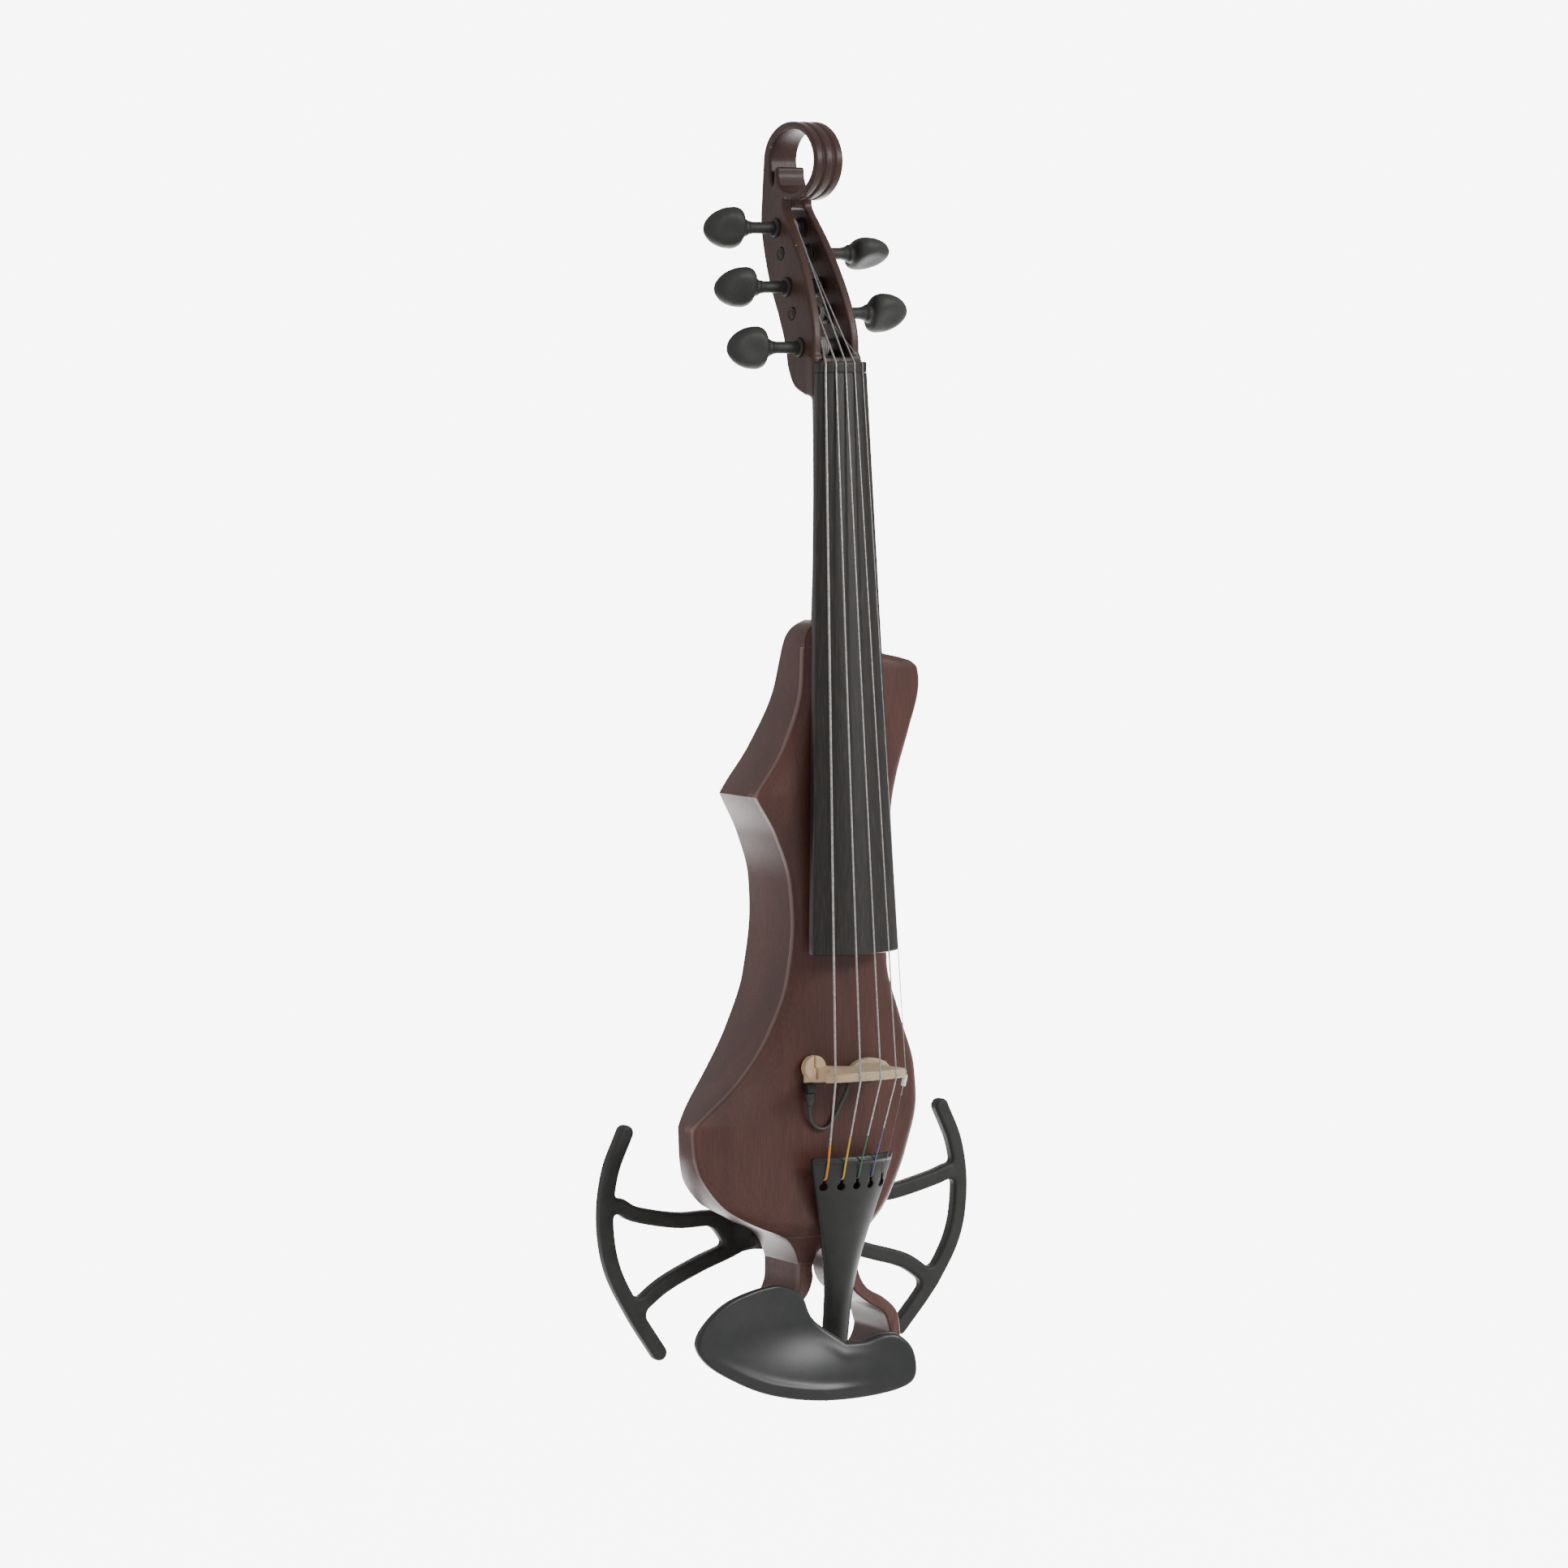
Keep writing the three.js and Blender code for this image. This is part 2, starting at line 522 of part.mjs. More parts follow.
// ---------------------------------------------------------------- bridge, pickup and tailpiece
const trebleDrop = (x) => TREBLE_DROP * clamp01(x / 20) ** 2;

function bridge() {
  const side = curve([[22, 0.4], [22.4, 3], [17.5, 6.5], [15.6, 11], [17.5, 15.5], [22, 19.5], [21.6, 23.4]], 16);
  const crown = arc(0, BRIDGE_HEIGHT - BRIDGE_RADIUS, BRIDGE_RADIUS, BRIDGE_RADIUS, 0.82, Math.PI - 0.82, 14);
  const other = [...side].reverse().map((p) => V2(-p.x, p.y));
  const archway = curve([[-11, 0.4], [-9.5, 5.5], [0, 11], [9.5, 5.5], [11, 0.4]], 12);
  const drop = (p) => V2(p.x, p.y - trebleDrop(p.x) * clamp01(p.y / 20));
  const shape = new THREE.Shape([...side, ...crown, ...other, ...archway].map(drop));
  const flat = new THREE.ExtrudeGeometry(shape, { depth: 1, bevelEnabled: false });
  const p = flat.attributes.position;
  for (let i = 0; i < p.count; i += 1) {
    const up = p.getY(i) / BRIDGE_HEIGHT;
    const lower = mix(BRIDGE_FOOT.low, BRIDGE_CROWN.low, up);
    const thick = mix(BRIDGE_FOOT.thick, BRIDGE_CROWN.thick, up);
    p.setXYZ(i, p.getX(i), -p.getY(i), lower + (p.getZ(i) > 0.5 ? thick : 0));
  }
  const pads = [-1, 1].map((s) => bar(6.2, Y_AXIS, V3(s * 17.5, 0, 2.6), -4.6, -0.4, 20));
  return union([solid(flat), ...pads]);
}

const LEAD_IN = { x: 0.4, z: -2.4 };
const LEAD_RADIUS = 0.9;
const LEAD_ROUTE = [
  [-20.6, -3.6, -12.9], [-20.5, -3.3, -14.8], [-20.1, -2.8, -17.2], [-19.2, -2.2, -19.8], [-17.6, -1.7, -22.2],
  [-15.2, -1.5, -24.1], [-12.3, -1.5, -24.9], [-9.5, -1.5, -24.1], [-7.2, -1.5, -22], [-5.5, -1.7, -19.2],
  [-4.1, -2.1, -16.2], [-2.8, -2.7, -13.1], [-1.6, -3.5, -10.2], [-0.6, -4.0, -7.4], [0.1, -3.7, -5.0],
  [0.4, -2.3, -3.1], [0.4, -0.2, -2.4], [0.4, 1.8, -2.4],
];

const bridgePickup = () => block(-23, -18.2, -6.2, -1.2, -7, -4);
const leadSleeve = () => turned([[0, -12.6], [1.2, -12.6], [1.9, -11], [1.9, -7.3], [0, -7.3]], Z_AXIS,
  V3(-20.6, -3.6, 0), 12);

function pickupLead() {
  const path = new THREE.CatmullRomCurve3(LEAD_ROUTE.map(([x, y, z]) => V3(x, y, z)));
  const section = new THREE.Shape(arc(0, 0, LEAD_RADIUS, LEAD_RADIUS, 0, Math.PI * 1.75, 7));
  return solid(new THREE.ExtrudeGeometry(section, { steps: 22, extrudePath: path }));
}

function leadGrommet() {
  const profile = [[1.3, -1.4], [3.4, -1.4], [3.4, -0.5], [2.6, -0.5], [2.6, 4], [1.3, 4]];
  return turned([...profile, profile[0]], Y_AXIS, V3(LEAD_IN.x, 0, LEAD_IN.z), 14);
}

const tailHalf = smooth([[-37, 22.5], [-108, 7.4], [-140, 6.6], [-143.4, 5]]);
const tailEdgeY = smooth([[-37, -9], [-108, 3.4], [-143.4, 8.2]]);
const tailCrown = (z) => mix(5.8, 2.2, clamp01((-37 - z) / 100));
const tailFrontY = (x, z) => tailEdgeY(z) - tailCrown(z) * (1 - (x / tailHalf(z)) ** 2);
const KEYHOLE_Z = -49;

function tailpiece() {
  const section = (z) => {
    const half = tailHalf(z);
    const top = Array.from({ length: 9 }, (_, i) => mix(-half, half, i / 8)).map((x) => V3(x, tailFrontY(x, z), z));
    return [...top, V3(half * 0.97, tailEdgeY(z) + 2.4, z), V3(-half * 0.97, tailEdgeY(z) + 2.4, z)];
  };
  const levels = [-37, -60, -84, -108, -126, -140, -143.4];
  const holes = STRING_X_TAIL.map((x) => bar(2.3, Y_AXIS, V3(x, 0, KEYHOLE_Z), -30, 10, 12));
  return cut(loft(levels.map(section)), holes);
}

function tailGut() {
  const front = 6.6;
  const under = -155.2;
  const strand = (x) => [V3(x, 7.4, -143.9), V3(x, front, -147), V3(x, front, -153.6), V3(x, 8.4, under)];
  const way = [...strand(-3.4), V3(-3.4, 21, under), V3(-2, 24.2, under), V3(2, 24.2, under), V3(3.4, 21, under),
    ...strand(3.4).reverse()];
  return bentWire(way, 0.9);
}

const tailSaddle = () => block(-6, 6, 7.9, TAIL_FRONT_Y - GAP, -153, -147.2);
const tailPin = () => turned([[0, -156.8], [2.4, -156.8], [1.8, -156.3], [1.8, -149], [0, -149]], Z_AXIS,
  V3(0, 21, 0), 12);

// ---------------------------------------------------------------- strings
const bridgeTopY = (x) => -(BRIDGE_HEIGHT - sagitta(x, BRIDGE_RADIUS) - trebleDrop(x));

function nutTopY(x) {
  const half = BOARD_NUT_HALF - 0.3;
  return NUT_EDGE_Y - sagitta(half, BOARD_RADIUS) + sagitta(x, BOARD_RADIUS);
}

/** Where a string leaves the nut, and where it meets its winding on the drum. */
function stringPoints(i) {
  const r = STRING_RADIUS[i];
  const lift = r * 1.02 + GAP + 0.3;
  const tailX = STRING_X_TAIL[i];
  const surface = tailFrontY(tailX, KEYHOLE_Z);
  const tail = V3(tailX, surface + 1.6, KEYHOLE_Z - 0.5);
  const dip = V3(tailX, surface - 0.7, KEYHOLE_Z + 0.7);
  const onBridge = V3(STRING_X_BRIDGE[i], bridgeTopY(STRING_X_BRIDGE[i]) - lift, STRING_KINK_Z);
  const lower = V3(STRING_X_NUT[i], nutTopY(STRING_X_NUT[i]) - lift, NUT_Z);
  const upper = V3(STRING_X_NUT[i] * 0.98, nutTopY(STRING_X_NUT[i]) - lift + 0.05, NUT_Z + NUT_LENGTH + 1);
  const { y, z } = PEGS[i];
  const end = V3(WINDING_X[i], y - WINDING_RADIUS - r - GAP, z);
  return [tail, dip, onBridge, lower, upper, end];
}

function stringWire(i) {
  const points = stringPoints(i);
  return bentWire(points, STRING_RADIUS[i]).add(ball(points[0], 1.3, 8, 6));
}

function stringSleeve() {
  const [, dip, at] = stringPoints(4);
  const along = dip.clone().sub(at);
  const profile = [[0.6, 2.9], [1.2, 2.9], [1.2, 8.3], [0.6, 8.3]];
  return turned([...profile, profile[0]], along, at, 10);
}

// ---------------------------------------------------------------- geared tuning pegs
const pegPlace = ({ side, z, y }) => ({
  out: X_AXIS.clone().multiplyScalar(side),
  at: V3(side * cheekHalf(z), y, z),
  width: 2 * cheekHalf(z),
});

function pegHead(peg) {
  const { out, at } = pegPlace(peg);
  const s = SHANK_LENGTH;
  const shank = turned([[0, -3.6], [SHANK_RADIUS, -3.6], [SHANK_RADIUS, s - 1], [4.6, s + 1.5], [4.4, s + 6],
    [0, s + 6]], out, at, 14);
  const leaf = new THREE.SphereGeometry(1, 14, 8).scale(10.4, 5.4, 9.6).rotateX(peg.turn);
  leaf.translate(at.x + peg.side * (s + 10.6), at.y, at.z);
  return shank.add(solid(leaf));
}

function pegCasing(peg) {
  const { out, at } = pegPlace(peg);
  const bore = SHANK_RADIUS + GAP;
  const profile = [[bore, 2.2], [4.4, 2.2], [4.8, 1.7], [4.8, 0.8], [4.2, 0.8], [4.2, -3.7], [bore, -3.7]];
  return turned([...profile, profile[0]], out, at);
}

function pegDrum(peg) {
  const { out, at, width } = pegPlace(peg);
  const near = -CHEEK - DRUM_END_GAP;
  const far = -width + CHEEK + DRUM_END_GAP;
  return turned([[0, -width - 0.5], [2, -width - 0.5], [JOURNAL_RADIUS, -width], [JOURNAL_RADIUS, far],
    [DRUM_RADIUS, far], [DRUM_RADIUS, near], [0, near]], out, at);
}

function stringWinding(peg, x) {
  const r = DRUM_RADIUS + GAP;
  const profile = [[r, -2.2], [WINDING_RADIUS, -1.8], [WINDING_RADIUS, 1.8], [r, 2.2]];
  return turned([...profile, profile[0]], X_AXIS, V3(x, peg.y, peg.z));
}

// ---------------------------------------------------------------- chin rest and shoulder wings
function chinRest() {
  const outline = curve([[-14, -121.5], [-29, -110.5], [-36, -99], [-44, -94], [-56, -91.5], [-78, -96.5],
    [-91.5, -106], [-96.5, -115], [-91.5, -124], [-79, -132.5], [-59, -141.5], [-34, -146.8], [-8, -147.8],
    [14, -145.4], [22, -140], [21, -128], [14, -120.5], [6, -119.2], [-4, -121.5], [-14, -121.5]], 46);
  return slab(outline.slice(0, -1), REST_FRONT_Y, REST_BACK_Y);
}

const restPost = (s) => block(s * POST_X - POST_HALF, s * POST_X + POST_HALF, REST_BACK_Y + GAP, TAIL_FRONT_Y - GAP,
  POST_Z - POST_HALF, POST_Z + POST_HALF).subtract(bar(1.8, Y_AXIS, V3(s * POST_X, 0, POST_Z), -12, 20, 12));

const restScrew = (s) => turned([[0, -10], [1.5, -10], [1.5, 43.3], [3.3, 43.3], [3.3, 45.6], [0, 45.6]], Y_AXIS,
  V3(s * POST_X, 0, POST_Z), 12);

function wing(s) {
  const open = s > 0 ? WING_OPEN : 0;
  const bars = [
    ribbon([[-88, -27.5], [-96, -46], [-98.8, -68], [-95, -91], [-83.5 + 0.4 * open, -113], [-70 + 1.4 * open, -133]],
      WING_BAR, 12),
    ribbon([[-98, -57 + open / 2], [-84, -65.5 + open], [-60, -71 + open], [-40, -71.5 + open], [-16, -75]],
      WING_BAR + 0.6, 7),
    ribbon([[-88, -115], [-68, -101.5], [-48, -93 - open / 2], [-30, -87 - open / 2], [-14, -80]],
      WING_BAR + 0.6, 7),
  ];
  const flip = (outline) => (s < 0 ? outline : outline.map((p) => V2(-p.x, p.y)).reverse());
  const frame = union(bars.map((outline) => slab(flip(outline), WING_FRONT_Y, WING_BACK_Y)));
  const pad = flip(curve([[-2, -70.5], [-20, -70], [-28, -74], [-28, -84], [-20, -88], [-2, -87], [-2, -70.5]], 16));
  const hub = slab(pad.slice(0, -1), HUB.front, WING_BACK_Y);
  return frame.add(hub).subtract(bar(2.8, Y_AXIS, V3(s * HUB.x, 0, HUB.z), 40, 60));
}

const wingBolt = (s) => turned([[0, 30], [2.5, 30], [2.5, 55.5], [4.6, 55.5], [4.6, 58.4], [0, 58.4]], Y_AXIS,
  V3(s * HUB.x, 0, HUB.z));

// ---------------------------------------------------------------- assembly
const FINISH = {
  redWood: { color: 0x5a3b34, roughness: 0.42 },
  ebony: { color: 0x26221f, roughness: 0.5 },
  maple: { color: 0xc9bba0, roughness: 0.6 },
  black: { color: 0x3a3a38, roughness: 0.6 },
  matteBlack: { color: 0x303030, roughness: 0.75 },
  steel: { color: 0xb8b8b4, roughness: 0.3, metalness: 1 },
  white: { color: 0xe8e4da, roughness: 0.5 },
  green: { color: 0x2d5b3c, roughness: 0.6 },
  grey: { color: 0x77777a, roughness: 0.5, metalness: 0.6 },
};

const violin = new THREE.Group();

function addPiece(name, body, finish) {
  const mesh = new THREE.Mesh(geometryOf(body), new THREE.MeshStandardMaterial(FINISH[finish]));
  mesh.name = name;
  mesh.position.set(-HOOK.x, -HOOK.y, -HOOK.z);
  violin.add(mesh);
}

addPiece('body_shell', bodyShell(), 'redWood');
addPiece('soundboard', soundboard(), 'redWood');
addPiece('neck', neckPiece(), 'redWood');
addPiece('fingerboard', fingerboard(), 'ebony');
addPiece('nut', nut(), 'ebony');
addPiece('back_cover', backCover(), 'black');
addPiece('battery_door', batteryDoor(), 'black');
addPiece('battery', battery(), 'grey');
addPiece('circuit_board', circuitBoard(), 'green');
KNOBS.forEach(([name, x]) => {
  addPiece(`${name}_pot`, pot(x), 'grey');
  addPiece(`${name}_knob`, knob(x), 'black');
});
addPiece('jack_plate', jackPlate(), 'black');
addPiece('output_jack', outputJack(), 'steel');

addPiece('bridge', bridge(), 'maple');
addPiece('bridge_pickup', bridgePickup(), 'black');
addPiece('lead_sleeve', leadSleeve(), 'black');
addPiece('pickup_lead', pickupLead(), 'black');
addPiece('lead_grommet', leadGrommet(), 'black');
addPiece('tailpiece', tailpiece(), 'black');
addPiece('tail_gut', tailGut(), 'black');
addPiece('tail_saddle', tailSaddle(), 'ebony');
addPiece('tail_pin', tailPin(), 'steel');

PEGS.forEach((peg, i) => {
  addPiece(`string_${i + 1}`, stringWire(i), 'steel');
  addPiece(`string_winding_${i + 1}`, stringWinding(peg, WINDING_X[i]), 'steel');
  addPiece(`peg_head_${i + 1}`, pegHead(peg), 'matteBlack');
  addPiece(`peg_casing_${i + 1}`, pegCasing(peg), 'matteBlack');
  addPiece(`peg_drum_${i + 1}`, pegDrum(peg), 'matteBlack');
});
addPiece('e_string_sleeve', stringSleeve(), 'white');

addPiece('chin_rest', chinRest(), 'black');
[['left', -1], ['right', 1]].forEach(([name, s]) => {
  addPiece(`chin_rest_post_${name}`, restPost(s), 'black');
  addPiece(`chin_rest_screw_${name}`, restScrew(s), 'steel');
  addPiece(`wing_${name}`, wing(s), 'matteBlack');
  addPiece(`wing_bolt_${name}`, wingBolt(s), 'steel');
});

export default violin;
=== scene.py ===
"""A five-string electric violin, hanging by its scroll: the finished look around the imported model.

Shapes are worked out in the instrument's own millimetres, as in the part's source: x towards the
treble side, y towards the back, z up, with zero on the soundboard under the middle of the bridge.
make() moves them into the row frame, in metres.
"""
import math

import bmesh
import bpy
import numpy as np
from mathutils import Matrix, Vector


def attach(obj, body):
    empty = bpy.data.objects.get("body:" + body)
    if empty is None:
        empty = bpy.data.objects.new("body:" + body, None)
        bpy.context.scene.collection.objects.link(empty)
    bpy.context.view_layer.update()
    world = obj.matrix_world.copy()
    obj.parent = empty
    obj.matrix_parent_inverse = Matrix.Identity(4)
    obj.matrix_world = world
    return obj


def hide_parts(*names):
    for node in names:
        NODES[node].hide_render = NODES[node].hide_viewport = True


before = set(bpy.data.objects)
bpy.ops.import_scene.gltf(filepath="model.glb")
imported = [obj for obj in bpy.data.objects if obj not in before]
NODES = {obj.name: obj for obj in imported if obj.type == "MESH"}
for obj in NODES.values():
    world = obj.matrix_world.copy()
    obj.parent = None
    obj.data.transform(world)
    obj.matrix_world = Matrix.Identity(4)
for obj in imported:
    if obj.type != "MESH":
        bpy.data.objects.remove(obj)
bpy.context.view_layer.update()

HOOK = np.array([0.0, 34.0, 439.8])  # the row frame's origin, in the instrument's millimetres
MM = 0.001
VIEW_TURN, VIEW_DROP = math.radians(31.69), math.radians(4.91)   # where the camera looks
CAMERA_AT, CAMERA_LENS = (-1.5064, -2.4216, -0.0613), 139.75
OBJECT_MIDDLE = (0, 0, -0.3)
FLOOR_Z, FLOOR_REACH = -0.9, 40
SIDE_LIGHT, BACK_LIGHT, FLOOR_LIGHT = 0.62, 8.0, 7.3
BACKDROP_EDGE, BACKDROP_CORE = 0.935, 0.972   # cosines of the angle to the middle of the lit backdrop
GLOW_START, GLOW_FULL = 0.1, 0.9     # metres behind the object where the floor begins to glow, and is full
LANE_INNER, LANE_OUTER, LANE_SPREAD = 0.5, 0.9, 0.14   # half-width of the glowing lane, and how it widens
LIGHTS = [("left_wall", (-1.6, 0.9, 0.0), (1.6, 2.6), 5), ("front_right", (1.1, -1.7, 0.6), (0.6, 0.5), 26)]

# ------------ sizes shared with the part's source
SEAM = 0.04                          # hairline left between pieces that are glued together
NUT_Z, NUT_LENGTH, NUT_EDGE_Y = 327, 5, 0.5
BOARD_END_Z = 58
BOARD_NUT_HALF, BOARD_END_HALF, BOARD_RADIUS, BOARD_SIDE = 13.5, 23.6, 38, 4.4
BOARD_EDGE_NUT_Y, BOARD_EDGE_END_Y = 0.9, -10.9
BRIDGE_HEIGHT, BRIDGE_RADIUS, TREBLE_DROP = 32.6, 30, 2
BRIDGE_FOOT, BRIDGE_CROWN = (-2.8, 8), (0.8, 4.2)   # lower face and thickness
STRING_KINK_Z = 1.4
STRING_X_BRIDGE = [-20, -10, 0, 10, 20]
STRING_X_NUT = [-10.2, -5.1, 0, 5.1, 10.2]
STRING_X_TAIL = [-15.6, -7.6, 0.4, 8.4, 16]
STRING_RADIUS = [0.55, 0.45, 0.4, 0.35, 0.2]
BODY_TOP_Z, BODY_TAIL_Z = 212, -92
CORNER_UP_Z, CORNER_LOW_Z = 131, -21.5
ARCH_EDGE, TAIL_FRONT_Y, TAIL_BACK_Y = 5, 10, 43
BOARD_THICK, SEAM_Z, SEAM_TOP_Z = 3.5, -76, 200
HORN_TOP_Z, HORN_FOOT_Z = 200, 186
RIM_RADIUS = 9
LOOP = {"x": 39, "z": -127, "tall": 26.5, "hole_x": 33, "hole_z": -126, "hole_tall": 20.5}
COVER = (-32, 30, -48, 24)           # x and z limits of the plate on the back
COVER_Y = (45.9, 48.4)
CHAMBER_Y = 24                       # floor of the chamber for the battery and the electronics
DOOR = (-26, 24, -43, -15)
KNOBS = {"volume": -15, "tone": 13}
KNOB_Z = 4
JACK_Y, JACK_Z, JACK_FACE_X = 28, -12, 43.3
PEGS = [(-1, 338.6, 18.5, 0.1), (-1, 366.5, 32, 0.45), (-1, 394, 45, 0.3), (1, 382, 39, 0.95),
        (1, 354.2, 26, 0.5)]
CHEEK, DRUM_RADIUS, SHANK_RADIUS, SHANK_LENGTH = 4.5, 3.9, 2.8, 18
WINDING_X = [-3, -2.5, 0, 1.5, 3.5]
SLOT_Z = (332.9, 403.5)              # ends of the pegbox's slot
SCROLL = {"y": 35.5, "z": 425, "deep": 23.5, "tall": 18.3, "hole_y": 34, "hole_deep": 19, "hole_tall": 14.8}
REST_FRONT_Y, REST_BACK_Y = -32, -24
POST_X, POST_Z, POST_HALF = 22, -144, 3
WING_Y = (48.8, 55.2)
WING_BAR, WING_OPEN = 7.5, 4
HUB_X, HUB_Z, HUB_FRONT = 12, -78, 45.6


# ------------ numbers and curves
def mix(a, b, t):
    return a + (b - a) * t


def ease(t):
    t = np.clip(t, 0, 1)
    return t * t * (3 - 2 * t)


def smooth(pairs):
    """A smooth function through (t, value) pairs, given with t falling, that never overshoots."""
    t = np.array([pair[0] for pair in pairs], float)[::-1]
    v = np.array([pair[1] for pair in pairs], float)[::-1]
    step = np.diff(v) / np.diff(t)
    slope = np.concatenate([step[:1], np.zeros(len(step) - 1), step[-1:]])
    for i in range(1, len(step)):
        if step[i - 1] * step[i] > 0:
            slope[i] = 2 * step[i - 1] * step[i] / (step[i - 1] + step[i])

    def at(x):
        x = np.clip(np.asarray(x, float), t[0], t[-1])
        i = np.clip(np.searchsorted(t, x) - 1, 0, len(t) - 2)
        span = t[i + 1] - t[i]
        s = (x - t[i]) / span
        start = (2 * s**3 - 3 * s**2 + 1) * v[i] + (s**3 - 2 * s**2 + s) * span * slope[i]
        return start + (3 * s**2 - 2 * s**3) * v[i + 1] + (s**3 - s**2) * span * slope[i + 1]

    return at


def curve(points, steps=10):
    """A smooth line through the points, each stretch cut into steps."""
    p = np.array(points, float)
    p = np.concatenate([[2 * p[0] - p[1]], p, [2 * p[-1] - p[-2]]])
    out = []
    for i in range(1, len(p) - 2):
        for t in np.linspace(0, 1, steps, endpoint=False):
            a, b, c, d = p[i - 1 : i + 3]
            out.append(0.5 * (2 * b + (c - a) * t + (2 * a - 5 * b + 4 * c - d) * t**2
                              + (3 * b - a - 3 * c + d) * t**3))
    return np.array(out + [p[-2]])


def arc(cx, cy, rx, ry, start, end, steps):
    a = np.linspace(start, end, steps + 1)
    return np.stack([cx + rx * np.cos(a), cy + ry * np.sin(a)], 1)


def soften(points, radius, closed=False, steps=4):
    """The same line with its corners rounded off."""
    p = np.array(points, float)
    count = len(p)
    out = []
    for i in range(count):
        if not closed and i in (0, count - 1):
            out.append(p[i])
            continue
        before = p[i - 1] - p[i]
        after = p[(i + 1) % count] - p[i]
        reach = min(radius, 0.49 * np.linalg.norm(before), 0.49 * np.linalg.norm(after))
        a = p[i] + before / max(np.linalg.norm(before), 1e-9) * reach
        b = p[i] + after / max(np.linalg.norm(after), 1e-9) * reach
        for t in np.linspace(0, 1, steps + 1):
            out.append((1 - t) ** 2 * a + 2 * t * (1 - t) * p[i] + t**2 * b)
    return np.array(out)


# ------------ solids as fields, in millimetres
def both(a, b, r):
    """Where two fields overlap, with the edge between them rounded to radius r."""
    return np.minimum(-r, np.maximum(a, b)) + np.hypot(np.maximum(a + r, 0), np.maximum(b + r, 0))


def either(a, b, r):
    """Two fields joined, with a fillet of radius r."""
    return -both(-a, -b, r)


def without(a, b, r):
    return both(a, -b, r)


def between(v, low, high):
    """Signed distance to the stretch from low to high: below zero inside."""
    return np.maximum(low - v, v - high)


def outline(points, u, v):
    """Signed distance to a closed outline drawn in u and v: below zero inside."""
    p = np.array(points, float)
    u, v = np.broadcast_arrays(u, v)
    nearest = np.full(u.shape, np.inf)
    inside = np.zeros(u.shape, bool)
    for a, b in zip(p, np.roll(p, -1, axis=0)):
        edge = b - a
        length = max(float(edge @ edge), 1e-12)
        du, dv = u - a[0], v - a[1]
        t = np.clip((du * edge[0] + dv * edge[1]) / length, 0, 1)
        nearest = np.minimum(nearest, (du - t * edge[0]) ** 2 + (dv - t * edge[1]) ** 2)
        if a[1] != b[1]:
            crosses = (a[1] > v) != (b[1] > v)
            inside ^= crosses & (u < a[0] + (v - a[1]) * edge[0] / edge[1])
    return np.where(inside, -1, 1) * np.sqrt(nearest)


def bar_field(points, u, v, half):
    """Signed distance to a bar of even width along a line drawn in u and v."""
    p = np.array(points, float)
    u, v = np.broadcast_arrays(u, v)
    nearest = np.full(u.shape, np.inf)
    for a, b in zip(p[:-1], p[1:]):
        edge = b - a
        du, dv = u - a[0], v - a[1]
        t = np.clip((du * edge[0] + dv * edge[1]) / float(edge @ edge), 0, 1)
        nearest = np.minimum(nearest, (du - t * edge[0]) ** 2 + (dv - t * edge[1]) ** 2)
    return np.sqrt(nearest) - half


def skin(field, low, high, step):
    """The closed mesh where a field is zero, as points and four-sided faces."""
    step = np.broadcast_to(np.array(step, float), 3)
    axes = [np.arange(a - 1.5 * s, b + 2.5 * s, s) for a, b, s in zip(low, high, step)]
    return skin_on(field, axes)


def skin_on(field, axes):
    size = [len(axis) for axis in axes]
    value = np.broadcast_to(field(*np.meshgrid(*axes, indexing="ij", sparse=True)), size)
    value = np.where(np.abs(value) < 1e-6, 1e-6, value)
    inside = value < 0
    cells, points, quads = [], [], []
    for axis in range(3):
        near = tuple(slice(0, -1) if i == axis else slice(None) for i in range(3))
        far = tuple(slice(1, None) if i == axis else slice(None) for i in range(3))
        at = np.argwhere(inside[near] != inside[far])
        ahead = at.copy()
        ahead[:, axis] += 1
        a, b = value[tuple(at.T)], value[tuple(ahead.T)]
        point = np.stack([axes[i][at[:, i]] for i in range(3)], 1)
        point[:, axis] += a / (a - b) * (axes[axis][ahead[:, axis]] - axes[axis][at[:, axis]])
        u, v = (axis + 1) % 3, (axis + 2) % 3
        corners = []
        for du, dv in ((1, 1), (0, 1), (0, 0), (1, 0)):
            cell = at.copy()
            cell[:, u] -= du
            cell[:, v] -= dv
            corners.append(np.ravel_multi_index(tuple(cell.T), size))
            points.append(point)
        cells.extend(corners)
        quad = np.stack(corners, 1)
        quad[a > 0] = quad[a > 0][:, ::-1]
        quads.append(quad)
    ids, index = np.unique(np.concatenate(cells), return_inverse=True)
    share = np.bincount(index)
    sums = [np.bincount(index, weights=w) for w in np.concatenate(points).T]
    return np.stack(sums, 1) / share[:, None], np.searchsorted(ids, np.concatenate(quads))


# ------------ meshes from rings, in millimetres
def loft(rings, closed=False):
    """A skin through rings of equal length: end faces are flat, or the last ring joins the first."""
    rings = np.array(rings, float)
    count, around = rings.shape[:2]
    faces = []
    last = count if closed else count - 1
    for r in range(last):
        a, b = r * around, ((r + 1) % count) * around
        for i in range(around):
            j = (i + 1) % around
            faces.append([a + i, a + j, b + j, b + i])
    if not closed:
        faces.append(list(range(around))[::-1])
        faces.append([(count - 1) * around + i for i in range(around)])
    return rings.reshape(-1, 3), faces


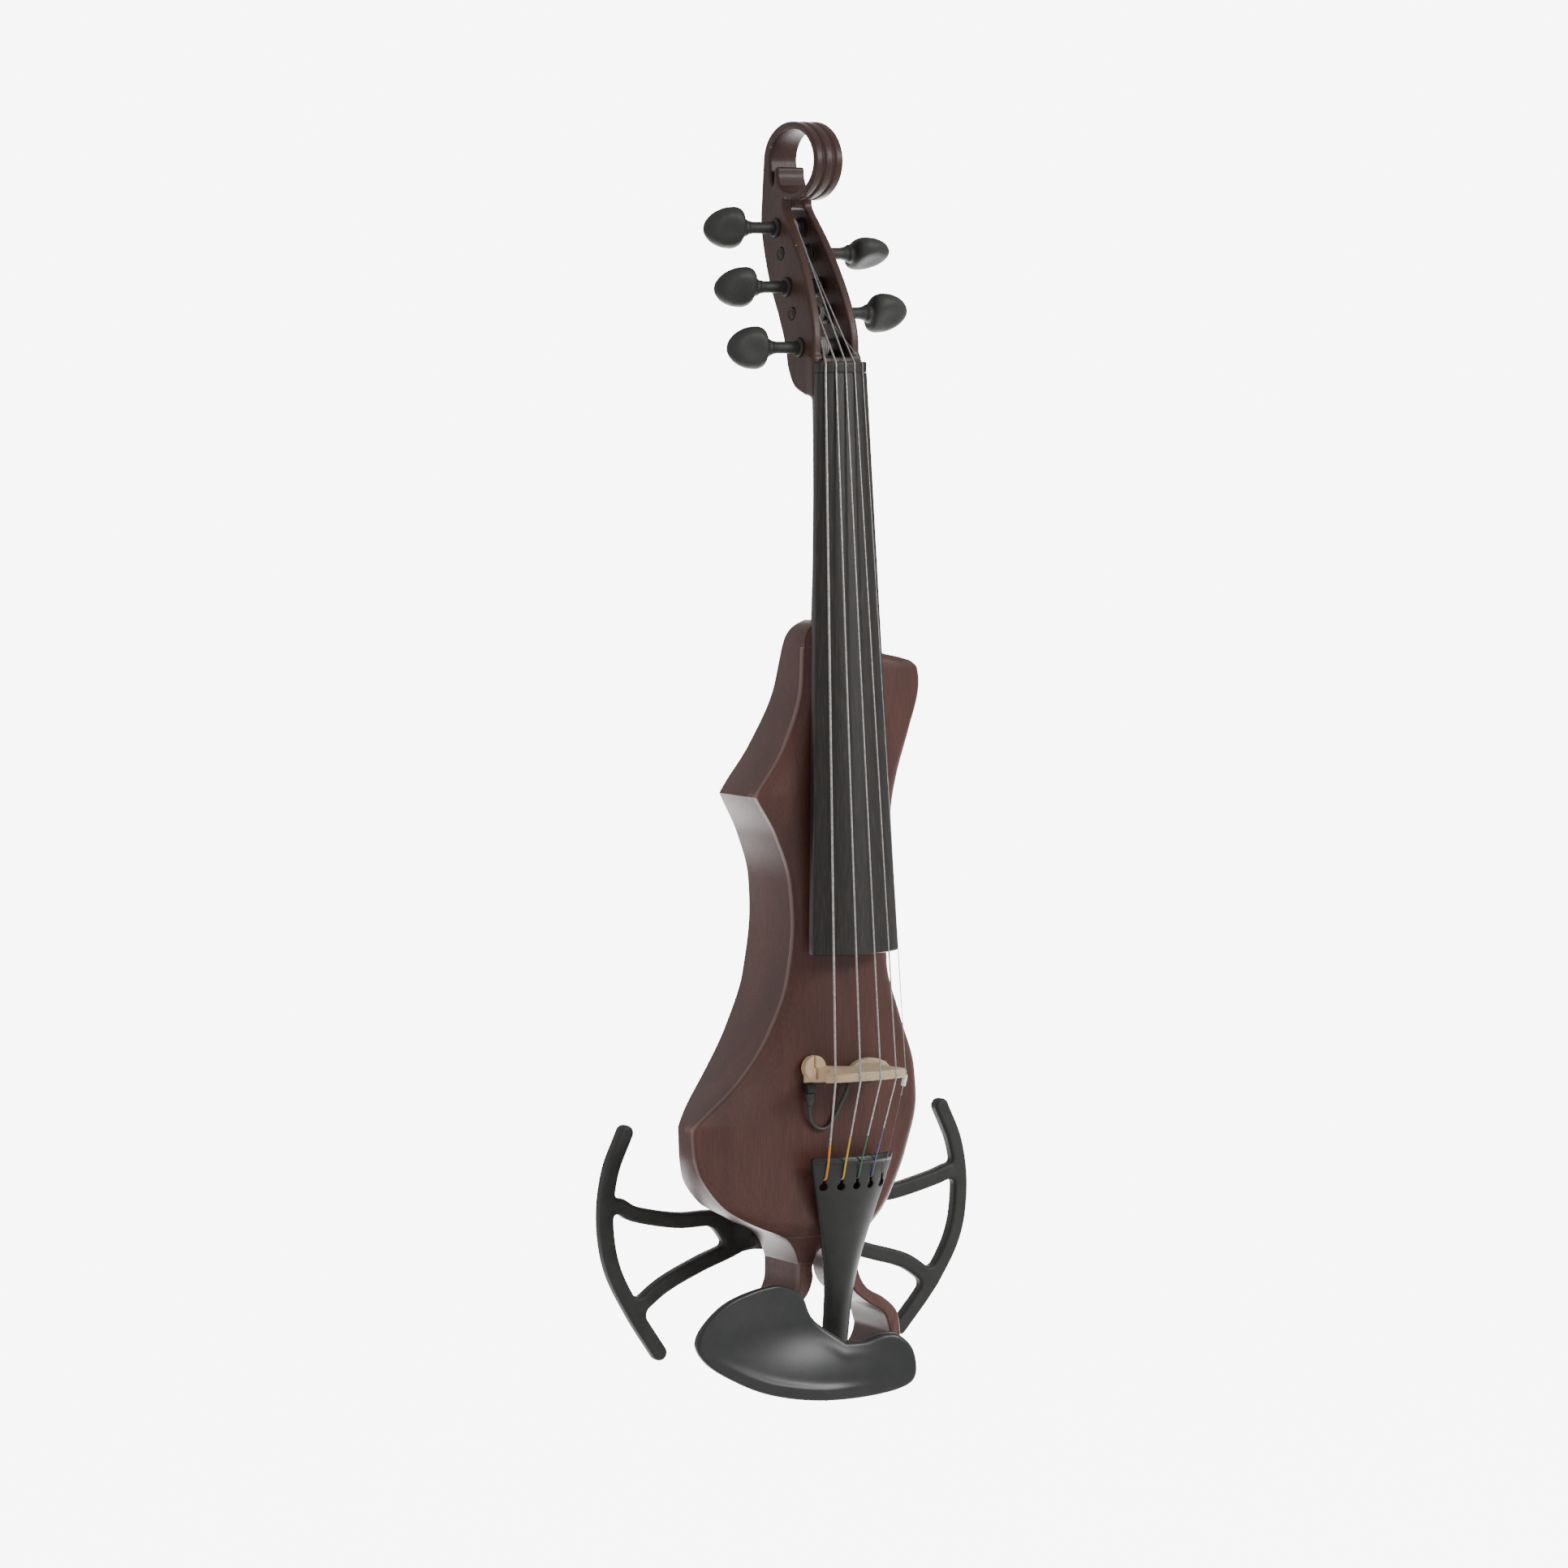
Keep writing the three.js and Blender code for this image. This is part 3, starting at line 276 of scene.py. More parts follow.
def turned(profile, axis, at, around=48):
    """A turned piece: the profile's pairs are [radius, distance along the axis from at]."""
    axis = np.array(axis, float) / np.linalg.norm(axis)
    helper = np.array([0, 0, 1.0]) if abs(axis[2]) < 0.9 else np.array([1.0, 0, 0])
    side = np.cross(axis, helper)
    side /= np.linalg.norm(side)
    other = np.cross(axis, side)
    a = np.linspace(0, 2 * math.pi, around, endpoint=False)[:, None]
    circle = np.cos(a) * side + np.sin(a) * other
    rings = [np.array(at, float) + circle * max(r, 1e-4) + axis * d for r, d in profile]
    closed = bool(np.allclose(profile[0], profile[-1]))
    return loft(rings[:-1] if closed else rings, closed)


def tube(points, radius, around=14):
    """A round wire along a line, its radius one number or one for each point."""
    p = np.array(points, float)
    radius = np.broadcast_to(np.array(radius, float), len(p))
    ahead = np.gradient(p, axis=0)
    ahead /= np.linalg.norm(ahead, axis=1)[:, None]
    side = np.cross(ahead[0], [0.31, 0.17, 0.94])
    a = np.linspace(0, 2 * math.pi, around, endpoint=False)[:, None]
    rings = []
    for place, along, r in zip(p, ahead, radius):
        side = side - along * (side @ along)
        side /= np.linalg.norm(side)
        rings.append(place + r * (np.cos(a) * side + np.sin(a) * np.cross(along, side)))
    return loft(rings)


def rounded_block(low, high, radius=0.5, segments=3):
    """A box with rounded edges."""
    bm = bmesh.new()
    bmesh.ops.create_cube(bm, size=1)
    low, high = np.array(low, float), np.array(high, float)
    for vertex in bm.verts:
        vertex.co = (low + high) / 2 + np.array(vertex.co) * (high - low)
    bmesh.ops.bevel(bm, geom=bm.edges, offset=radius, segments=segments, profile=0.5, affect="EDGES")
    points = np.array([vertex.co for vertex in bm.verts])
    faces = [[vertex.index for vertex in face.verts] for face in bm.faces]
    bm.free()
    return points, faces


def mesh_object(name, shape, sharp=40):
    """A Blender mesh object in the row frame, with faces turned outwards and smooth shading."""
    points, faces = shape
    mesh = bpy.data.meshes.new(name)
    places = (np.asarray(points) - HOOK) * MM
    mesh.from_pydata(places.tolist(), [], [list(map(int, face)) for face in faces])
    bm = bmesh.new()
    bm.from_mesh(mesh)
    bmesh.ops.remove_doubles(bm, verts=bm.verts, dist=1e-6)
    bmesh.ops.recalc_face_normals(bm, faces=bm.faces)
    bm.to_mesh(mesh)
    bm.free()
    mesh.shade_smooth()
    mesh.set_sharp_from_angle(angle=math.radians(sharp))
    piece = bpy.data.objects.new(name, mesh)
    bpy.context.scene.collection.objects.link(piece)
    return piece


def settle(piece, body, nodes, finish):
    """Gives a finished piece its material and its body, and hides the CAD nodes it stands for.

    A finish is the record's material slot, which is not used here, and the Blender material that shows it.
    """
    slot, material = finish
    piece.data.materials.clear()
    piece.data.materials.append(material)
    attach(piece, body)
    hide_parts(*nodes)
    return piece


def make(name, shape, nodes, finish, body="instrument", sharp=40):
    return settle(mesh_object(name, shape, sharp), body, nodes, finish)


def carve(piece, tools):
    """Joins or cuts a piece with helper meshes, then takes the helpers away: pairs are (how, shape)."""
    for how, shape in tools:
        helper = mesh_object("helper", shape)
        step = piece.modifiers.new("carve", "BOOLEAN")
        step.operation = how
        step.object = helper
        step.solver = "EXACT"
        mesh = bpy.data.meshes.new_from_object(piece.evaluated_get(bpy.context.evaluated_depsgraph_get()))
        piece.modifiers.clear()
        old = piece.data
        mesh.name = old.name
        piece.data = mesh
        bpy.data.meshes.remove(old)
        bpy.data.objects.remove(helper)
    piece.data.shade_smooth()
    piece.data.set_sharp_from_angle(angle=math.radians(40))
    return piece


# ------------ camera, lights and floor
def add_camera():
    data = bpy.data.cameras.new("camera")
    data.lens = CAMERA_LENS
    data.sensor_width = 36
    camera = bpy.data.objects.new("camera", data)
    camera.location = CAMERA_AT
    camera.rotation_euler = (math.pi / 2 - VIEW_DROP, 0, -VIEW_TURN)
    bpy.context.scene.collection.objects.link(camera)
    bpy.context.scene.camera = camera


def add_light(name, place, size, power):
    data = bpy.data.lights.new(name, "AREA")
    data.shape = "RECTANGLE"
    data.size, data.size_y = size
    data.energy = power
    light = bpy.data.objects.new(name, data)
    light.location = place
    direction = Vector(OBJECT_MIDDLE) - Vector(place)
    light.rotation_euler = direction.to_track_quat("-Z", "Y").to_euler()
    bpy.context.scene.collection.objects.link(light)


def add_world():
    """White all round, and brighter behind the object, like a lit backdrop."""
    world = bpy.data.worlds.new("studio")
    world.use_nodes = True
    tree = Nodes(world.node_tree)
    along = tree.add("ShaderNodeVectorMath")
    along.operation = "DOT_PRODUCT"
    along.inputs[1].default_value = (math.sin(VIEW_TURN), math.cos(VIEW_TURN), 0)
    tree.put(along.inputs[0], tree.add("ShaderNodeTexCoord").outputs["Generated"])
    strength = tree.spread(along.outputs["Value"], (BACKDROP_EDGE, BACKDROP_CORE), (SIDE_LIGHT, BACK_LIGHT),
                           "SMOOTHSTEP")
    background = world.node_tree.nodes["Background"]
    tree.put(background.inputs["Strength"], strength)
    tree.put(background.inputs["Color"], (1, 1, 1))
    bpy.context.scene.world = world


def floor_paint():
    """Pale, with a glowing lane behind the object that runs on into the lit backdrop."""
    paint = Paint("floor")
    split = paint.add("ShaderNodeSeparateXYZ", Vector=paint.add("ShaderNodeTexCoord").outputs["Object"])

    def mixed(how, x_share, y_share):
        return paint.math(how, paint.math("MULTIPLY", split.outputs["X"], x_share),
                          paint.math("MULTIPLY", split.outputs["Y"], y_share))

    away = mixed("ADD", math.sin(VIEW_TURN), math.cos(VIEW_TURN))
    aside = paint.math("ABSOLUTE", mixed("SUBTRACT", math.cos(VIEW_TURN), math.sin(VIEW_TURN)))
    margin = paint.math("SUBTRACT", aside, paint.math("MULTIPLY", away, LANE_SPREAD))
    behind = paint.spread(away, (GLOW_START, GLOW_FULL), (0.0, FLOOR_LIGHT))
    lane = paint.spread(margin, (LANE_INNER, LANE_OUTER), (1.0, 0.0))
    paint.set(Base_Color=(0.9, 0.9, 0.9), Roughness=0.9, Emission_Color=(1, 1, 1),
              Emission_Strength=paint.math("MULTIPLY", behind, lane))
    return paint.material


def add_studio():
    add_world()
    for light in LIGHTS:
        add_light(*light)
    mesh = bpy.data.meshes.new("floor")
    corners = [(-1, -1), (1, -1), (1, 1), (-1, 1)]
    mesh.from_pydata([(x * FLOOR_REACH, y * FLOOR_REACH, FLOOR_Z) for x, y in corners], [], [(0, 1, 2, 3)])
    floor = bpy.data.objects.new("floor", mesh)
    bpy.context.scene.collection.objects.link(floor)
    floor.data.materials.append(floor_paint())


# ------------ materials
NOISE_REACH = (0.3, 0.7)             # where most of a noise texture's values lie
EDGE_REACH = (0.53, 0.62)            # pointiness of a rounded edge and of a sharp one
FRONT_EDGE_HIGHLIGHT, HEAD_EDGE_HIGHLIGHT = ("Y", "LESS_THAN", 14.0), ("Z", "GREATER_THAN", 334.0)   # where sharp edges get a painted highlight, a lighter colour standing in for light caught on them
STRING_RIDGES = 21.0                 # how closely a string's winding is ridged


class Nodes:
    """A small helper for adding nodes to one node tree."""

    def __init__(self, tree):
        self.tree = tree

    def add(self, kind, **links):
        node = self.tree.nodes.new(kind)
        for key, value in links.items():
            self.put(node.inputs[key.replace("_", " ")], value)
        return node

    def put(self, socket, value):
        if isinstance(value, bpy.types.NodeSocket):
            self.tree.links.new(value, socket)
        elif hasattr(value, "__len__") and len(value) == 3 and socket.type == "RGBA":
            socket.default_value = (*value, 1)
        else:
            socket.default_value = value

    def math(self, how, a, b=0.0):
        node = self.tree.nodes.new("ShaderNodeMath")
        node.operation = how
        self.put(node.inputs[0], a)
        self.put(node.inputs[1], b)
        return node.outputs[0]

    def spread(self, value, source, target, how="LINEAR"):
        """A value carried from one pair of numbers to another, and held at both ends."""
        node = self.add("ShaderNodeMapRange", Value=value)
        node.interpolation_type = how
        for key, number in zip(("From Min", "From Max", "To Min", "To Max"), (*source, *target)):
            node.inputs[key].default_value = number
        return node.outputs["Result"]


class Paint(Nodes):
    """A small helper for building one procedural material."""

    def __init__(self, name):
        self.material = bpy.data.materials.new(name)
        self.material.use_nodes = True
        super().__init__(self.material.node_tree)
        self.shader = self.tree.nodes["Principled BSDF"]

    def set(self, **values):
        for key, value in values.items():
            self.put(self.shader.inputs[key.replace("_", " ")], value)

    def place(self, stretch=(1, 1, 1)):
        """Where a point is on the object, in millimetres, stretched along the axes."""
        where = self.add("ShaderNodeTexCoord").outputs["Object"]
        scale = [1000 * value for value in stretch]
        return self.add("ShaderNodeMapping", Vector=where, Scale=scale).outputs["Vector"]

    def noise(self, stretch=(1, 1, 1), scale=1.0, detail=3.0, rough=0.5):
        return self.add("ShaderNodeTexNoise", Vector=self.place(stretch), Scale=scale, Detail=detail,
                        Roughness=rough).outputs["Fac"]

    def ramp(self, value, stops):
        """Colours along a value: stops are (place, colour)."""
        node = self.add("ShaderNodeValToRGB", Fac=value)
        ramp = node.color_ramp
        while len(ramp.elements) < len(stops):
            ramp.elements.new(0.5)
        for element, (place, colour) in zip(ramp.elements, stops):
            element.position = place
            element.color = (*colour, 1)
        return node.outputs["Color"]

    def levels(self, value, low, high):
        """A noise value spread between two numbers."""
        return self.spread(value, NOISE_REACH, (low, high))

    def blend(self, factor, a, b, how="MIX"):
        node = self.tree.nodes.new("ShaderNodeMix")
        node.data_type = "RGBA"
        node.blend_type = how
        self.put(node.inputs[0], factor)
        self.put(node.inputs[6], a)
        self.put(node.inputs[7], b)
        return node.outputs[2]

    def height(self, axis):
        """One coordinate of the point, in millimetres in the instrument's own frame."""
        part = self.add("ShaderNodeSeparateXYZ", Vector=self.place()).outputs[axis]
        return self.math("ADD", part, float(HOOK["XYZ".index(axis)]))

    def bump(self, height, strength, distance):
        node = self.add("ShaderNodeBump", Height=height, Strength=strength, Distance=distance * MM)
        self.set(Normal=node.outputs["Normal"])


def stained_wood(name, dark, light, highlight_where, roughness=0.42, coat=0.2):
    """Dark stained maple under a thin satin varnish, with fine upright grain.

    The fourth argument is (axis, comparison, millimetres): the part of the piece whose sharp edges get a
    painted highlight, a lighter colour standing in for light caught on them.
    """
    paint = Paint(name)
    grain = paint.noise((1, 1, 0.035), 2.6, 6, 0.62)
    cloud = paint.noise((1, 1, 0.35), 0.05, 3)
    base = paint.ramp(grain, [(0.28, dark), (0.5, [mix(a, b, 0.55) for a, b in zip(dark, light)]),
                              (0.72, light)])
    shade = paint.ramp(cloud, [(0.3, (0.72, 0.7, 0.7)), (0.7, (1.15, 1.12, 1.1))])
    # Painted highlight: pointy edges, in the part of the piece set by the fourth argument, are mixed towards
    # a much lighter colour that stands in for light caught on them.
    edge = paint.spread(paint.add("ShaderNodeNewGeometry").outputs["Pointiness"], EDGE_REACH, (0.0, 0.6))
    axis, comparison, limit = highlight_where
    edge_highlight = paint.math("MULTIPLY", edge, paint.math(comparison, paint.height(axis), limit))
    highlight_colour = [0.16 + 2.6 * c for c in light]
    stained = paint.blend(1.0, base, shade, "MULTIPLY")
    paint.set(Base_Color=paint.blend(edge_highlight, stained, highlight_colour),
              Roughness=paint.levels(grain, roughness + 0.06, roughness - 0.04))
    paint.set(Coat_Weight=coat, Coat_Roughness=0.34, Specular_IOR_Level=0.35)
    paint.bump(grain, 0.25, 0.05)
    return paint.material


def ebony_wood():
    paint = Paint("ebony")
    streak = paint.noise((1, 1, 0.02), 1.3, 5, 0.6)
    pore = paint.noise((1, 1, 0.06), 7, 2)
    base = paint.ramp(streak, [(0.35, (0.008, 0.007, 0.007)), (0.55, (0.018, 0.014, 0.012)),
                               (0.75, (0.05, 0.034, 0.025))])
    paint.set(Base_Color=base, Roughness=paint.levels(pore, 0.38, 0.5))
    paint.bump(pore, 0.3, 0.03)
    return paint.material


def bridge_maple():
    paint = Paint("bridge_maple")
    grain = paint.noise((0.12, 1, 1), 2.2, 5, 0.6)
    fleck = paint.noise((0.5, 1, 1), 4.5, 2)
    base = paint.ramp(grain, [(0.3, (0.42, 0.31, 0.19)), (0.6, (0.62, 0.5, 0.34)), (0.8, (0.72, 0.6, 0.44))])
    spots = paint.ramp(fleck, [(0.34, (0.55, 0.42, 0.3)), (0.44, (1, 1, 1))])
    # Partly painted light: the bass foot and its pickup pad are mixed towards a lighter, warmer colour, for
    # their end grain and for light falling on them from the front.
    grain_and_lit_foot = paint.spread(paint.height("X"), (-14, -11), (0.55, 0.0))
    maple = paint.blend(0.8, base, spots, "MULTIPLY")
    paint.set(Base_Color=paint.blend(grain_and_lit_foot, maple, (0.75, 0.5, 0.28)), Roughness=0.55)
    paint.bump(grain, 0.4, 0.06)
    return paint.material


def moulded(name, colour, roughness, speckle=0.05, coat=0.0):
    """Moulded plastic: a fine even texture with faint cloudy gloss."""
    paint = Paint(name)
    fine = paint.noise(scale=6, detail=2)
    cloud = paint.noise(scale=0.12, detail=3)
    low = [c * 0.8 for c in colour]
    high = [c * 1.25 for c in colour]
    paint.set(Base_Color=paint.ramp(cloud, [(0.3, low), (0.7, high)]),
              Roughness=paint.levels(fine, roughness - 0.05, roughness + 0.05))
    if coat:
        paint.set(Coat_Weight=coat, Coat_Roughness=0.22)
    paint.bump(fine, 0.35, speckle)
    return paint.material


def brushed_steel():
    paint = Paint("steel")
    scratch = paint.noise((4, 1, 4), 3, 3)
    paint.set(Base_Color=paint.ramp(scratch, [(0.3, (0.5, 0.5, 0.49)), (0.7, (0.72, 0.71, 0.69))]),
              Roughness=paint.levels(scratch, 0.2, 0.36), Metallic=1.0)
    paint.bump(scratch, 0.2, 0.02)
    return paint.material


def string_metal(name, silk, silk_top, head_silk):
    """Wound string: bright flat winding, with dyed silk at its tail end and at its peg end."""
    paint = Paint(name)
    z = paint.height("Z")
    ridge = paint.math("SINE", paint.math("MULTIPLY", z, STRING_RIDGES))
    tint = paint.noise((1, 1, 1), 0.8, 2)
    metal = paint.ramp(tint, [(0.3, (0.36, 0.35, 0.33)), (0.7, (0.58, 0.56, 0.53))])
    thread = paint.ramp(paint.noise((1, 1, 6), 1.5, 2), [(0.3, [c * 0.6 for c in silk]), (0.7, silk)])
    low = paint.math("LESS_THAN", z, silk_top)
    high = paint.math("GREATER_THAN", z, NUT_Z + NUT_LENGTH)
    other = paint.ramp(tint, [(0.3, [c * 0.7 for c in head_silk]), (0.7, head_silk)])
    colour = paint.blend(high, paint.blend(low, metal, thread), other)
    wrapped = paint.math("ADD", low, high)
    paint.set(Base_Color=colour, Metallic=paint.math("SUBTRACT", 1.0, wrapped),
              Roughness=paint.math("ADD", paint.math("MULTIPLY", wrapped, 0.4), 0.28))
    paint.bump(ridge, 0.35, 0.03)
    return paint.material


# ------------ the body
bass_upper = smooth([(212, -10), (209, -15.5), (203, -18), (182, -19), (154, -28.3), (131, -44)])
bass_bout = smooth([(131, -44), (112, -32.5), (90, -25), (71, -23.5), (45, -26.6), (20, -37), (0, -52),
                    (-21.5, -78)])
bass_lower = smooth([(-21.5, -78), (-34, -77), (-43.7, -74), (-52, -68.5), (-60, -60.8), (-65.2, -52.5),
                     (-70.8, -40.6), (-74.5, -31), (-78.2, -24.6), (-84.6, -19.7), (-92, -17.2)])
treble_edge = smooth([(212, 8), (202, 13), (197.5, 20), (195.5, 27), (194, 34), (191.8, 41.3), (188.5, 45),
                      (182, 46), (160, 41), (125, 32), (85, 28.3), (50, 29.5), (25, 37), (0, 45.3),
                      (-15, 46.5), (-40, 40.3), (-60, 31), (-78, 19), (-92, 15.7)])
spine_depth = smooth([(212, 19), (204, 24), (190, 29), (167, 35.5), (148, 41), (131, 44.5), (98, 45.5),
                      (50, 48.5), (14, 49), (-48, 49), (-60, 46.2), (-70, 44.4), (-80, 43.4),
                      (-92, TAIL_BACK_Y)])
back_fall = smooth([(212, 6e-5), (-45, 6.3e-5), (-60, 7.6e-5), (-68, 1.7e-4), (-92, 2.4e-4)])


def bass_edge(z):
    if z > CORNER_UP_Z:
        return float(bass_upper(z))
    return float(bass_bout(z)) if z > CORNER_LOW_Z else float(bass_lower(z))


def front_y(x, z):
    edge = np.where(x < 0, bass_edge(z), treble_edge(z))
    arch = ARCH_EDGE * np.minimum(1, np.abs(x / edge)) ** 3
    return mix(arch, TAIL_FRONT_Y, ease((-66 - z) / 22))


def back_y(x, z):
    return spine_depth(z) - back_fall(z) * np.abs(x) ** 3


def rim(z):
    """The rounded treble rim at one level: centre x, radius across, rise, front and back depths."""
    x0, x1 = bass_edge(z), float(treble_edge(z))
    r = min(RIM_RADIUS, (x1 - x0) / 5) * mix(1, 0.4, float(ease((z - 140) / 35)))
    cx = x1 - r
    front, back = float(front_y(cx, z)), float(back_y(cx, z))
    return x0, cx, r, min(r, (back - front) / 2.4), front, back


def rim_turn(rise, depth):
    return math.acos(max(-1.0, 1 - depth / rise))


def shell_ring(z, depth):
    """One level of the shell. depth is how far its front lies behind the body's front."""
    x0, cx, r, rise, front, back = rim(z)
    e = 0.7 if depth == 0 else 0.05
    turn = rim_turn(rise, depth)
    y0 = float(front_y(x0, z)) + depth
    ring = [arc(x0 + e, y0 + e, e, e, math.pi, 1.5 * math.pi, 4)]
    x = np.linspace(x0 + e, cx + r * math.sin(turn), 30)[1:]
    ring.append(np.stack([x, front_y(np.minimum(x, cx), z) + depth], 1))
    a = np.linspace(turn, math.pi / 2, 10)[1:]
    ring.append(np.stack([cx + r * np.sin(a), front + rise * (1 - np.cos(a))], 1))
    ring.append(arc(cx, back - rise, r, rise, 0, math.pi / 2, 9))
    e = 1.2
    x = np.linspace(cx, x0 + e, 28)[1:-1]
    ring.append(np.stack([x, back_y(x, z)], 1))
    ring.append(arc(x0 + e, float(back_y(x0 + e, z)) - e, e, e, math.pi / 2, math.pi, 4))
    flat = np.concatenate(ring)
    return np.stack([flat[:, 0], flat[:, 1], np.full(len(flat), z)], 1)


def board_ring(z):
    """One level of the soundboard."""
    x0, cx, r, rise, front, _ = rim(z)
    turn = rim_turn(rise, BOARD_THICK)
    e = 0.7
    y0 = float(front_y(x0, z))
    x = np.linspace(x0 + e, cx, 30)[1:]
    a = np.linspace(0, turn, 8)[1:]
    back_x = np.linspace(cx + r * math.sin(turn), x0, 30)[1:]
    flat = np.concatenate([
        arc(x0 + e, y0 + e, e, e, math.pi, 1.5 * math.pi, 4),
        np.stack([x, front_y(x, z)], 1),
        np.stack([cx + r * np.sin(a), front + rise * (1 - np.cos(a))], 1),
        np.stack([back_x, front_y(np.minimum(back_x, cx), z) + BOARD_THICK], 1)])
    return np.stack([flat[:, 0], flat[:, 1], np.full(len(flat), z)], 1)


def body_levels(top, bottom):
    stretches = [(BODY_TOP_Z, CORNER_UP_Z, 46), (HORN_TOP_Z, HORN_FOOT_Z, 36),
                 (CORNER_UP_Z, CORNER_LOW_Z, 84), (CORNER_LOW_Z, BODY_TAIL_Z, 44)]
    marks = np.concatenate([np.linspace(*stretch) for stretch in stretches])
    inner = [z for z in np.unique(marks) if bottom + 0.3 < z < top - 0.3]
    return [bottom, *inner, top]


def grown(points, amount):
    """An outline moved outwards by some amount."""
    p = np.array(points, float)
    along = np.roll(p, -1, axis=0) - np.roll(p, 1, axis=0)
    along /= np.maximum(np.linalg.norm(along, axis=1), 1e-9)[:, None]
    area = np.sum(p[:, 0] * np.roll(p[:, 1], -1) - p[:, 1] * np.roll(p[:, 0], -1))
    side = math.copysign(1, area)
    return p + side * amount * np.stack([along[:, 1], -along[:, 0]], 1)


def plate(outline_xz, layers):
    """A flat piece drawn in x and z: layers are (y, how far the outline grows there)."""
    rings = []
    for y, grow in layers:
        p = grown(outline_xz, grow)
        rings.append(np.stack([p[:, 0], np.full(len(p), y), p[:, 1]], 1))
    return loft(rings)


def tail_outlines():
    side = curve([(15.7, -84), (15.2, -95), (20, -104), (30, -110), (37, -117), (LOOP["x"], LOOP["z"])], 8)
    low = arc(0, LOOP["z"], LOOP["x"], LOOP["tall"], 0, -math.pi / 2, 26)[1:]
    bass = curve([(-17.3, -84), (-17, -94), (-17.6, -101.5), (-21.5, -108), (-30, -113.5), (-37.4, -119.5),
                  (-LOOP["x"], LOOP["z"])], 8)
    outer = np.concatenate([side, low, low[-2::-1] * [-1, 1], bass[::-1]])
    side = curve([(0, -82), (6.6, -84.2), (10, -91), (10, -98), (13.4, -105.5), (21, -111.5), (29.5, -117),
                  (LOOP["hole_x"], LOOP["hole_z"])], 8)
    low = arc(0, LOOP["hole_z"], LOOP["hole_x"], LOOP["hole_tall"], 0, -math.pi / 2, 26)[1:]
    half = np.concatenate([side, low])
    hole = np.concatenate([half, half[-2:0:-1] * [-1, 1]])
    return outer, hole


def make_body(wood):
    step = BOARD_THICK + SEAM
    levels = [(z, 0) for z in body_levels(SEAM_Z - SEAM, BODY_TAIL_Z + 2)]
    levels += [(z, step) for z in body_levels(SEAM_TOP_Z + SEAM, SEAM_Z - SEAM + 0.002)]
    levels += [(z, 0) for z in body_levels(BODY_TOP_Z, SEAM_TOP_Z + SEAM + 0.002)]
    shell = mesh_object("shell", loft([shell_ring(z, depth) for z, depth in levels]))
    outer, hole = tail_outlines()
    e = 0.7
    f, b = TAIL_FRONT_Y + 0.02, TAIL_BACK_Y - 0.02
    x0, x1, z0, z1 = COVER
    recess = rounded_block((x0 - 0.2, COVER_Y[0] - 0.1, z0 - 0.2), (x1 + 0.2, 60, z1 + 0.2), 0.05)
    chamber = rounded_block((x0 + 3.5, CHAMBER_Y, z0 + 3), (x1 - 3.5, COVER_Y[0] + 1, z1 - 3), 0.8)
    jack_recess = rounded_block((JACK_FACE_X - 2.1, JACK_Y - 9.4, JACK_Z - 10.4),
                                (60, JACK_Y + 9.4, JACK_Z + 10.4), 0.05)
    jack_bore = turned([(0, 20), (6.2, 20), (6.2, 60), (0, 60)], (1, 0, 0), (0, JACK_Y, JACK_Z))
    carve(shell, [("UNION", plate(outer, [(f, -e), (f + e, 0), (b - e, 0), (b, -e)])),
                  ("DIFFERENCE", plate(hole, [(f - 2, 2 + e), (f + e, 0), (b - e, 0), (b + 2, 2 + e)])),
                  ("DIFFERENCE", recess), ("DIFFERENCE", chamber), ("DIFFERENCE", jack_recess),
                  ("DIFFERENCE", jack_bore)])
    settle(shell, "instrument", ["body_shell"], wood)
    levels = body_levels(SEAM_TOP_Z, SEAM_Z)
    make("front_board", loft([board_ring(z) for z in levels]), ["soundboard"], wood)


# ------------ neck, pegbox and scroll
def board_share(z):
    return (z - BOARD_END_Z) / (NUT_Z - BOARD_END_Z)


def board_half(z):
    return mix(BOARD_END_HALF, BOARD_NUT_HALF, board_share(z))


def board_edge_y(z):
    return mix(BOARD_EDGE_END_Y, BOARD_EDGE_NUT_Y, board_share(z))


def board_back_y(z):
    return board_edge_y(z) + BOARD_SIDE


def sagitta(x, radius):
    return radius - np.sqrt(radius**2 - np.asarray(x, float) ** 2)


cheek_half = smooth([(446, 7.5), (412, 7.9), (394, 9.3), (373, 10.8), (357, 11.9), (343, 12.6), (331, 12.8),
                     (310, 12.8)])
shaft_half = smooth([(336, 12.6), (312, 12.4), (270, 13), (232, 14.2), (214, 14.8), (150, 14.8)])
shaft_depth = smooth([(336, 12), (312, 11), (270, 11.5), (232, 13), (214, 15), (150, 22)])


def head_outline():
    front = curve([(5.8, 332.6), (7, 348), (14.6, 367), (27, 387), (39, 402), (40, 407)], 8)
    ring = arc(SCROLL["y"], SCROLL["z"], SCROLL["deep"], SCROLL["tall"], -1.38, -2 * math.pi, 70)[1:]
    back = curve([(59, 425), (60, 408), (58, 392), (49, 370), (38, 352), (31.5, 339), (29, 329),
                  (23.5, 320.5), (14, 316.5)], 8)[1:]
    return np.concatenate([front, ring, back, [(5.8, 316.5)]])


def scroll_hole():
    ring = arc(SCROLL["hole_y"], SCROLL["z"], SCROLL["hole_deep"], SCROLL["hole_tall"],
               0, 1.62 * math.pi, 60)
    curl = curve([(44.5, 413.6), (46.2, 418), (46.4, 421.6), (47.8, 422.3), (49, 420), (49.4, 415.5),
                  (50.6, 413.6), (52, 416.5)], 6)
    return np.concatenate([ring, curl])


